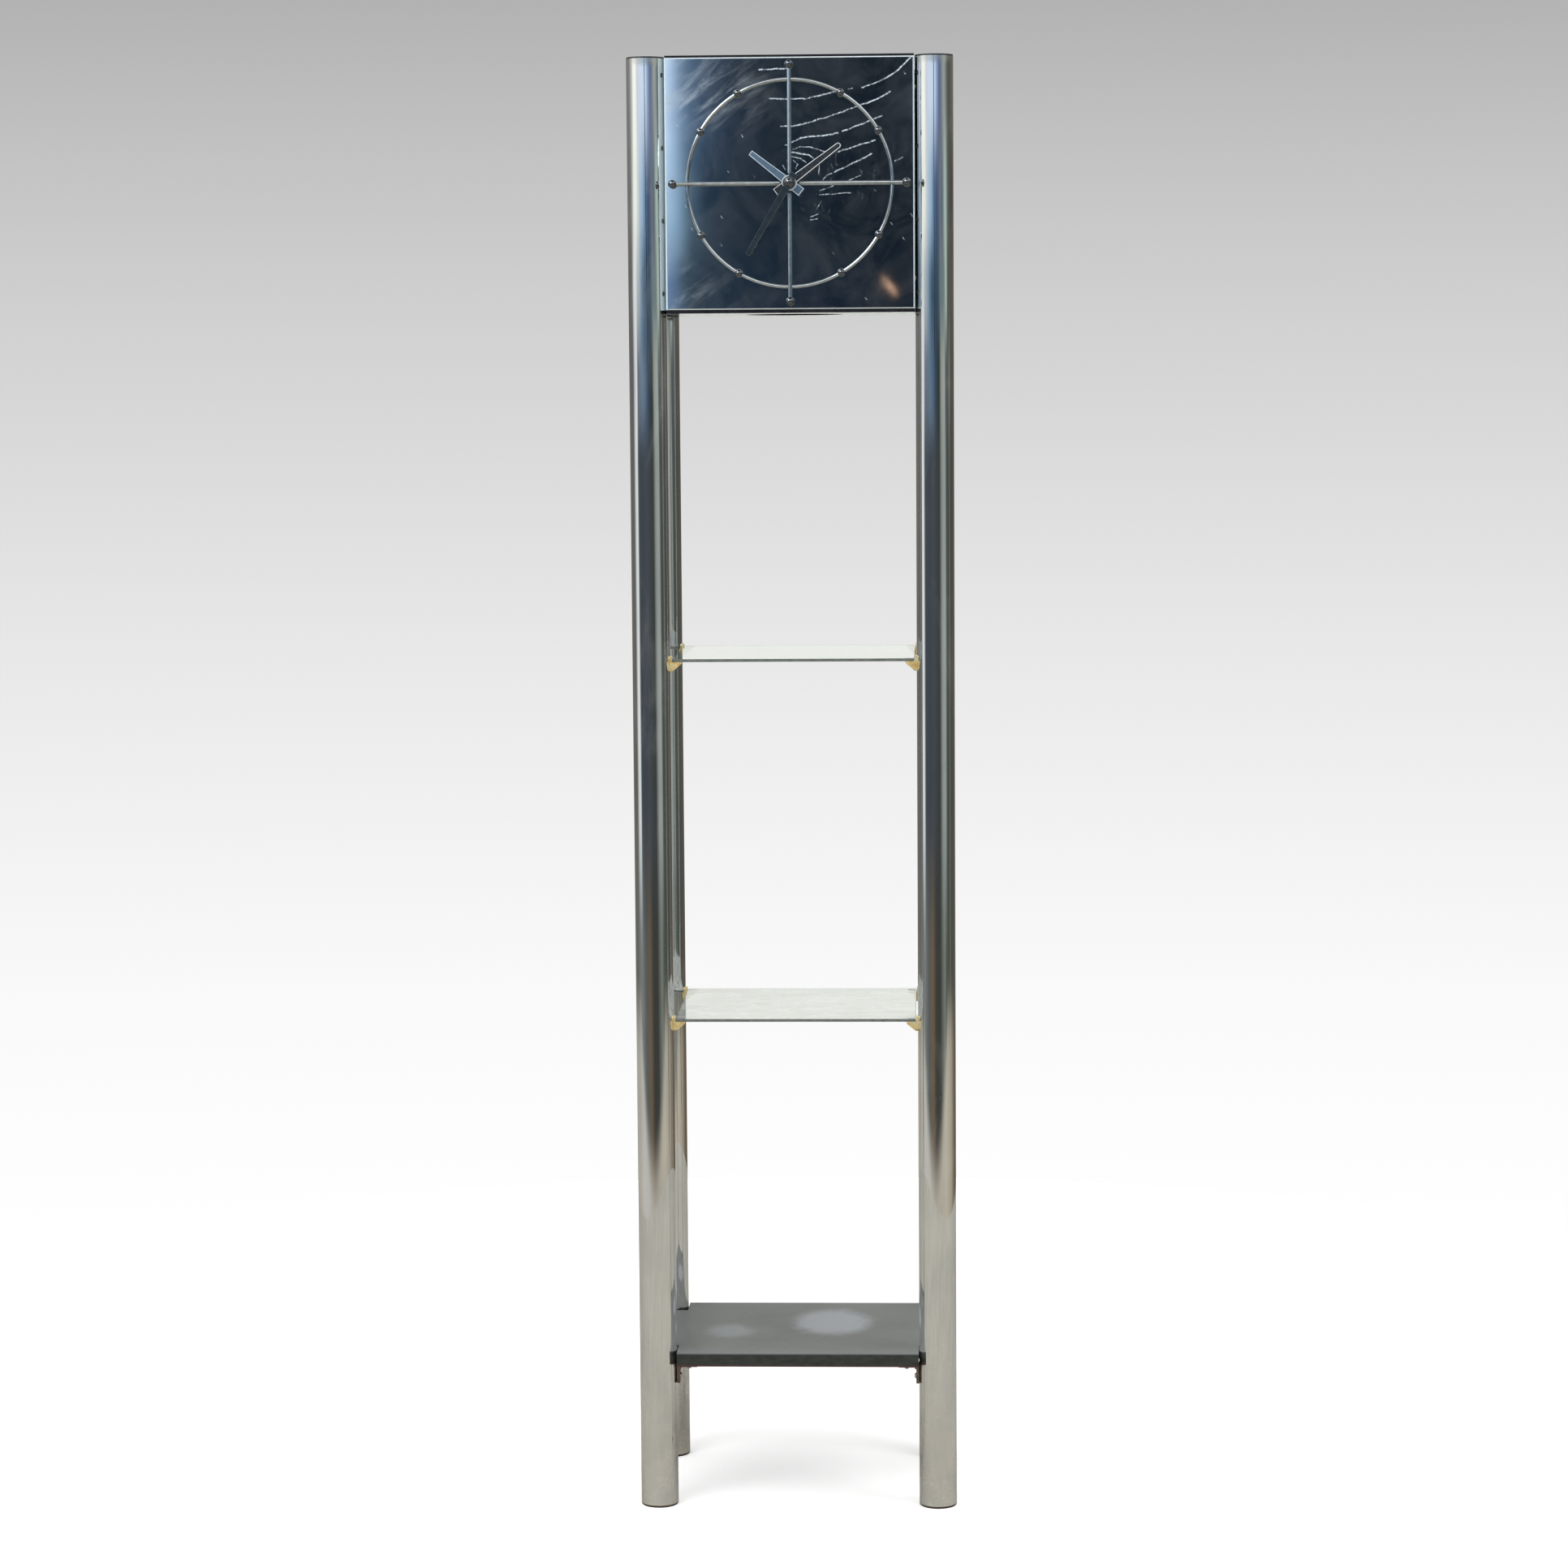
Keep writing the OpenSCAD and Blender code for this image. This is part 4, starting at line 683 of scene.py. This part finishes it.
def seen_directly(tree, path):
    """1 for what the camera sees, also through glass but not through glass in a mirror."""
    unmirrored = tree.math("LESS_THAN", path["Glossy Depth"], 0.5)
    through = tree.math("MULTIPLY", path["Is Transmission Ray"], unmirrored)
    return tree.math("MAXIMUM", path["Is Camera Ray"], through)


FLOOR_RADIUS = 2.1


def floor():
    """A round sheet of paper that keeps the clock's shadow: white to the camera, warm grey to the metal."""
    mesh = bpy.data.meshes.new("floor")
    bm = bmesh.new()
    bmesh.ops.create_circle(bm, cap_ends=True, segments=128, radius=FLOOR_RADIUS)
    bm.to_mesh(mesh)
    bm.free()
    obj = bpy.data.objects.new("floor", mesh)
    scene.collection.objects.link(obj)
    m = Mat("floor_paper", Roughness=0.9)
    direct = seen_directly(m, m.node("ShaderNodeLightPath").outputs)
    warm = m.ramp(m.noise(3.0, 3.0), [(0.3, (0.33, 0.315, 0.27)), (0.7, (0.39, 0.375, 0.33))])
    m.set(Base_Color=m.mix(direct, warm, (0.9, 0.9, 0.9)))
    m.shader.inputs["Emission Color"].default_value = (1.0, 1.0, 1.0, 1.0)
    m.set(Emission_Strength=m.math("MULTIPLY", direct, 0.35))
    mesh.materials.append(m.material)


def area(name, place, target, size, watts):
    """A soft lamp that lights the clock but doesn't show in its mirrors."""
    data = bpy.data.lights.new(name, "AREA")
    data.shape = "RECTANGLE"
    data.size, data.size_y = size
    data.energy = watts
    obj = bpy.data.objects.new(name, data)
    obj.location = place
    obj.rotation_euler = (Vector(target) - Vector(place)).to_track_quat("-Z", "Y").to_euler()
    obj.visible_glossy = False
    scene.collection.objects.link(obj)


# What the camera sees behind the clock, by height in degrees: grey above, white below
BACKDROP_FOOT = -14
BACKDROP_HEAD = 8
BACKDROP = [
    (-12.2, (255, 255, 255)), (-8.7, (249, 249, 249)), (-6.3, (241, 241, 241)), (-3.9, (232, 232, 232)),
    (-1.6, (221, 221, 221)), (0.8, (209, 209, 209)), (3.1, (195, 195, 195)), (5.4, (178, 178, 178)),
    (BACKDROP_HEAD, (165, 165, 165)),
]

# What the polished metal sees: a room around the clock, as bands one above the other. Each stop of a band
# is a direction in degrees from straight in front of the clock, positive to the viewer's right, and a colour
BACK = (242, 245, 239)
START = [(-180, BACK), (-173, BACK), (-168, (116, 114, 110))]
END = [(168, (104, 100, 94)), (173, BACK), (180, BACK)]
CROWN = START + [
    (-112, (128, 128, 126)), (-98, (160, 166, 164)), (-84, (204, 209, 204)), (-76, (255, 255, 250)),
    (-58, (255, 255, 252)), (-50, (214, 218, 224)), (-30, (214, 228, 246)), (-12, (210, 228, 252)),
    (6, (202, 220, 248)), (16, (150, 168, 200)), (30, (96, 114, 146)), (42, (112, 124, 146)),
    (52, (152, 154, 156)), (64, (154, 160, 160)), (76, (112, 124, 122)), (92, (84, 84, 79)),
    (112, (90, 90, 82)), (130, (100, 100, 92)), (150, (112, 110, 102)),
] + END
HEAD = START + [
    (-112, (114, 112, 110)), (-100, (132, 134, 133)), (-88, (194, 199, 196)), (-78, (240, 243, 235)),
    (-62, (242, 245, 237)), (-50, (212, 220, 220)), (-38, (180, 200, 214)), (-20, (154, 182, 210)),
    (-8, (112, 142, 176)), (2, (86, 112, 144)), (12, (68, 86, 112)), (24, (86, 100, 122)),
    (34, (108, 118, 134)), (50, (98, 110, 120)), (62, (160, 180, 174)), (70, (178, 196, 190)),
    (78, (140, 152, 148)), (86, (96, 106, 102)), (100, (82, 82, 76)), (130, (74, 72, 66)),
] + END
NECK = START + [
    (-116, (98, 98, 98)), (-100, (120, 120, 119)), (-90, (208, 211, 209)), (-72, (226, 229, 226)),
    (-62, (180, 187, 196)), (-46, (158, 173, 184)), (-36, (122, 147, 167)), (-24, (84, 110, 138)),
    (-10, (60, 82, 100)), (12, (56, 76, 90)), (24, (72, 90, 104)), (36, (108, 126, 136)),
    (48, (112, 124, 126)), (60, (120, 132, 130)), (68, (170, 186, 180)), (76, (168, 182, 176)),
    (84, (86, 90, 86)), (130, (90, 86, 78)),
] + END
LEVEL = START + [
    (-116, (98, 98, 98)), (-98, (112, 112, 112)), (-90, (192, 194, 198)), (-72, (228, 232, 235)),
    (-64, (112, 116, 124)), (-50, (104, 117, 138)), (-30, (98, 122, 138)), (-12, (84, 104, 134)),
    (2, (60, 78, 96)), (14, (54, 64, 68)), (28, (52, 60, 62)), (36, (138, 146, 139)),
    (46, (154, 160, 154)), (60, (160, 166, 160)), (68, (84, 92, 90)), (88, (84, 90, 88)),
    (96, (128, 130, 128)), (106, (84, 82, 78)), (140, (86, 82, 76)),
] + END
MIDDLE = START + [
    (-116, (100, 98, 94)), (-100, (108, 106, 102)), (-94, (170, 172, 170)), (-86, (216, 222, 224)),
    (-74, (224, 230, 234)), (-68, (120, 124, 126)), (-62, (68, 74, 80)), (-38, (66, 72, 80)),
    (-12, (70, 76, 82)), (10, (64, 68, 70)), (26, (60, 64, 64)), (36, (120, 126, 122)),
    (44, (148, 154, 150)), (62, (154, 160, 155)), (72, (76, 84, 80)), (88, (70, 78, 74)),
    (96, (106, 108, 104)), (104, (74, 75, 71)), (140, (86, 82, 76)),
] + END
LOWER = START + [
    (-116, (104, 102, 98)), (-96, (118, 120, 118)), (-76, (124, 128, 126)), (-60, (104, 108, 107)),
    (-46, (92, 94, 91)), (-34, (100, 94, 83)), (-20, (106, 92, 76)), (-8, (78, 72, 64)),
    (0, (62, 62, 58)), (24, (62, 63, 60)), (36, (92, 98, 94)), (52, (120, 126, 118)),
    (64, (82, 88, 82)), (84, (70, 76, 70)), (94, (100, 104, 98)), (103, (76, 76, 70)),
    (140, (88, 84, 76)),
] + END
GROUND = [
    (-180, (170, 165, 152)), (-110, (174, 170, 160)), (-80, (190, 188, 183)), (-45, (190, 188, 181)),
    (-10, (182, 175, 163)), (30, (180, 174, 160)), (60, (186, 179, 164)), (96, (164, 157, 143)),
    (125, (112, 102, 86)), (160, (84, 76, 62)), (180, (170, 165, 152)),
]
# The upper edge of the pale ground: its lowest height and the turn where that lies, how far off to the side
# it has climbed by one step, the step, the most steps that it climbs, and half the width of its blend
GROUND_LOWEST = -11.6
GROUND_TURN = -10.0
GROUND_REACH = 60.0
GROUND_STEP = 1.3
GROUND_STEPS = 1.8
GROUND_BLEND = 0.65
# The bands above the lowest one: colours, height where each begins, and half the width of its blend
BANDS = ((MIDDLE, -7.3, 1.3), (LEVEL, -0.7, 0.6), (NECK, 0.65, 0.6), (HEAD, 1.9, 0.6), (CROWN, 3.4, 0.8))

# The few degrees straight in front, which fill the flat face: a dark doorway with daylight at its left
DOOR_LEFT = -4.3
DOOR_LEVEL = [
    (DOOR_LEFT, (184, 208, 232)), (-3.96, (184, 208, 232)), (-3.9, (112, 132, 160)), (-3.82, (94, 120, 156)),
    (-3.74, (84, 108, 134)), (-3.66, (62, 80, 98)), (-3.58, (44, 62, 76)), (-3.2, (32, 48, 64)),
    (-2.7, (28, 41, 56)), (-1.4, (23, 34, 46)), (0.0, (22, 30, 40)),
]
DOOR_HEAD = [
    (DOOR_LEFT, (205, 230, 250)), (-3.96, (205, 230, 250)), (-3.88, (158, 188, 216)), (-3.78, (148, 178, 206)),
    (-3.7, (124, 154, 182)), (-3.62, (98, 124, 142)), (-3.52, (64, 86, 104)), (-3.3, (36, 52, 68)),
    (-2.9, (27, 40, 53)), (-1.4, (22, 32, 42)), (0.0, (21, 29, 37)),
]
DOOR_CROWN = [
    (DOOR_LEFT, (240, 250, 255)), (-3.96, (240, 250, 255)), (-3.9, (202, 224, 248)), (-3.83, (176, 204, 234)),
    (-3.75, (154, 176, 206)), (-3.69, (122, 146, 174)), (-3.62, (98, 122, 150)), (-3.54, (76, 99, 126)),
    (-3.3, (50, 69, 92)), (-2.9, (34, 48, 64)), (-2.4, (26, 38, 50)), (-1.4, (22, 32, 42)),
    (0.0, (21, 30, 40)),
]
DOOR_BANDS = ((DOOR_HEAD, 1.9, 0.6), (DOOR_CROWN, 3.1, 0.8))
# The small warm thing seen low at the right of the face, and the bright pane high on the left that puts a
# gleam on balls and wire, both in degrees: centre, half sizes and softness
WARM_THING = ((-0.67, 1.3), (0.055, 0.15), 0.45)
WARM_LEAN = 0.45
PANE = ((-45.0, 36.0), (20.0, 15.0), 0.2)
PANE_LIGHT = (8.0, 8.3, 8.5)
CEILING_LIGHT = (1.4, 1.4, 1.38)
CEILING_FAR_LIGHT = (1.3, 1.3, 1.28)
DIFFUSE_LIGHT = (0.8, 0.8, 0.8)


def light_of(value):
    """A screen value of 0 to 255, as light."""
    value = value / 255
    return value / 12.92 if value <= 0.04045 else ((value + 0.055) / 1.055) ** 2.4


def tone(r, g, b):
    """A screen colour, as light."""
    return (light_of(r), light_of(g), light_of(b))


class Sky(Tree):
    """The world under construction, with each direction's height and turn in degrees."""

    def __init__(self, tree):
        super().__init__(tree)
        tree.nodes.clear()
        x, y, z = self.split(self.node("ShaderNodeTexCoord").outputs["Generated"])
        self.rise = self.math("MULTIPLY", self.math("ARCSINE", z), 180 / math.pi)
        in_front = self.math("MULTIPLY", y, -1.0)
        self.turn = self.math("MULTIPLY", self.math("ARCTAN2", x, in_front), 180 / math.pi)

    def strip(self, value, low, high, stops):
        """Colours along a value that goes from low to high, with the stops at its own numbers."""
        share = self.math("DIVIDE", self.math("SUBTRACT", value, low), high - low)
        return self.ramp(share, [((at - low) / (high - low), tone(*colour)) for at, colour in stops])

    def ring(self, stops):
        return self.strip(self.turn, -180, 180, stops)

    def doorway(self, stops):
        return self.strip(self.turn, DOOR_LEFT, 0, stops)

    def above(self, height, half_blend):
        return self.smooth(self.rise, height - half_blend, height + half_blend)


def straight_ahead(sky):
    """What the flat face shows."""
    view = sky.doorway(DOOR_LEVEL)
    for stops, height, half_blend in DOOR_BANDS:
        view = sky.mix(sky.above(height, half_blend), view, sky.doorway(stops))
    centre, half, soft = WARM_THING
    lean = sky.math("MULTIPLY", sky.math("SUBTRACT", sky.rise, centre[1]), WARM_LEAN)
    leaning = sky.oval(sky.math("ADD", sky.turn, lean), sky.rise, centre, half, soft)
    return sky.mix(leaning, view, tone(200, 158, 130))


def doorway_mask(sky):
    """1 in the few degrees straight in front that the flat face shows."""
    from_left = sky.smooth(sky.turn, DOOR_LEFT, DOOR_LEFT + 0.2)
    to_right = sky.smooth(sky.turn, -0.25, 0.05, 1.0, 0.0)
    return sky.math("MULTIPLY", sky.math("MULTIPLY", from_left, to_right), sky.above(0.3, 0.2))


def over_ground(sky):
    """1 above the edge of the pale ground, which rises from a low point in front to both sides."""
    wide = sky.math("DIVIDE", sky.math("SUBTRACT", sky.turn, GROUND_TURN), GROUND_REACH)
    steps = sky.math("MINIMUM", sky.math("MULTIPLY", wide, wide), GROUND_STEPS)
    edge = sky.math("ADD", sky.math("MULTIPLY", steps, GROUND_STEP), GROUND_LOWEST)
    return sky.smooth(sky.math("SUBTRACT", sky.rise, edge), -GROUND_BLEND, GROUND_BLEND)


def overhead(sky):
    """The ceiling with its broad bright part, and a paler slope behind the clock."""
    up = sky.math("DIVIDE", sky.rise, 90)
    ceiling = sky.ramp(up, [
        (0.08, tone(110, 116, 120)), (0.16, tone(206, 210, 210)), (0.3, tone(236, 238, 238)),
        (0.46, CEILING_LIGHT), (0.64, CEILING_FAR_LIGHT), (0.74, tone(84, 84, 82)), (1.0, tone(76, 74, 70))])
    slope = sky.ramp(up, [(0.08, tone(*BACK)), (0.3, tone(206, 206, 200)), (0.6, tone(120, 118, 112))])
    behind = sky.smooth(sky.math("ABSOLUTE", sky.turn), 150.0, 170.0)
    return sky.mix(behind, ceiling, slope)


def room_around(sky):
    """Everything that polished metal sees."""
    room = sky.ring(LOWER)
    for stops, height, half_blend in BANDS:
        room = sky.mix(sky.above(height, half_blend), room, sky.ring(stops))
    room = sky.mix(doorway_mask(sky), room, straight_ahead(sky))
    room = sky.mix(over_ground(sky), sky.ring(GROUND), room)
    room = sky.mix(sky.above(8.0, 2.5), room, overhead(sky))
    return sky.mix(sky.oval(sky.turn, sky.rise, *PANE), room, PANE_LIGHT)


def world():
    """The backdrop for the camera, the room for the mirrors and plain light for the rest."""
    scene.world = bpy.data.worlds.new("studio")
    scene.world.use_nodes = True
    sky = Sky(scene.world.node_tree)
    path = sky.node("ShaderNodeLightPath").outputs
    backdrop = sky.strip(sky.rise, BACKDROP_FOOT, BACKDROP_HEAD, BACKDROP)
    room = room_around(sky)
    mirrored = sky.math("GREATER_THAN", path["Glossy Depth"], 0.5)
    glass_in_mirror = sky.math("MULTIPLY", path["Is Transmission Ray"], mirrored)
    glossy = sky.math("MAXIMUM", path["Is Glossy Ray"], glass_in_mirror)
    lit = sky.mix(glossy, DIFFUSE_LIGHT, room)
    shown = sky.mix(seen_directly(sky, path), lit, backdrop)
    background = sky.node("ShaderNodeBackground")
    background.inputs["Strength"].default_value = 1.0
    sky.link(shown, background.inputs["Color"])
    sky.link(background.outputs[0], sky.node("ShaderNodeOutputWorld").inputs["Surface"])


set_camera()
scene.view_settings.view_transform = "Standard"
make_materials()
dress_pieces()
floor()
world()
area("key", place=(-1.8, -2.6, 3.4), target=(0, 0, 1.2), size=(2.0, 2.0), watts=60)
area("fill", place=(2.4, -1.2, 2.6), target=(0, 0, 1.0), size=(1.6, 2.2), watts=35)
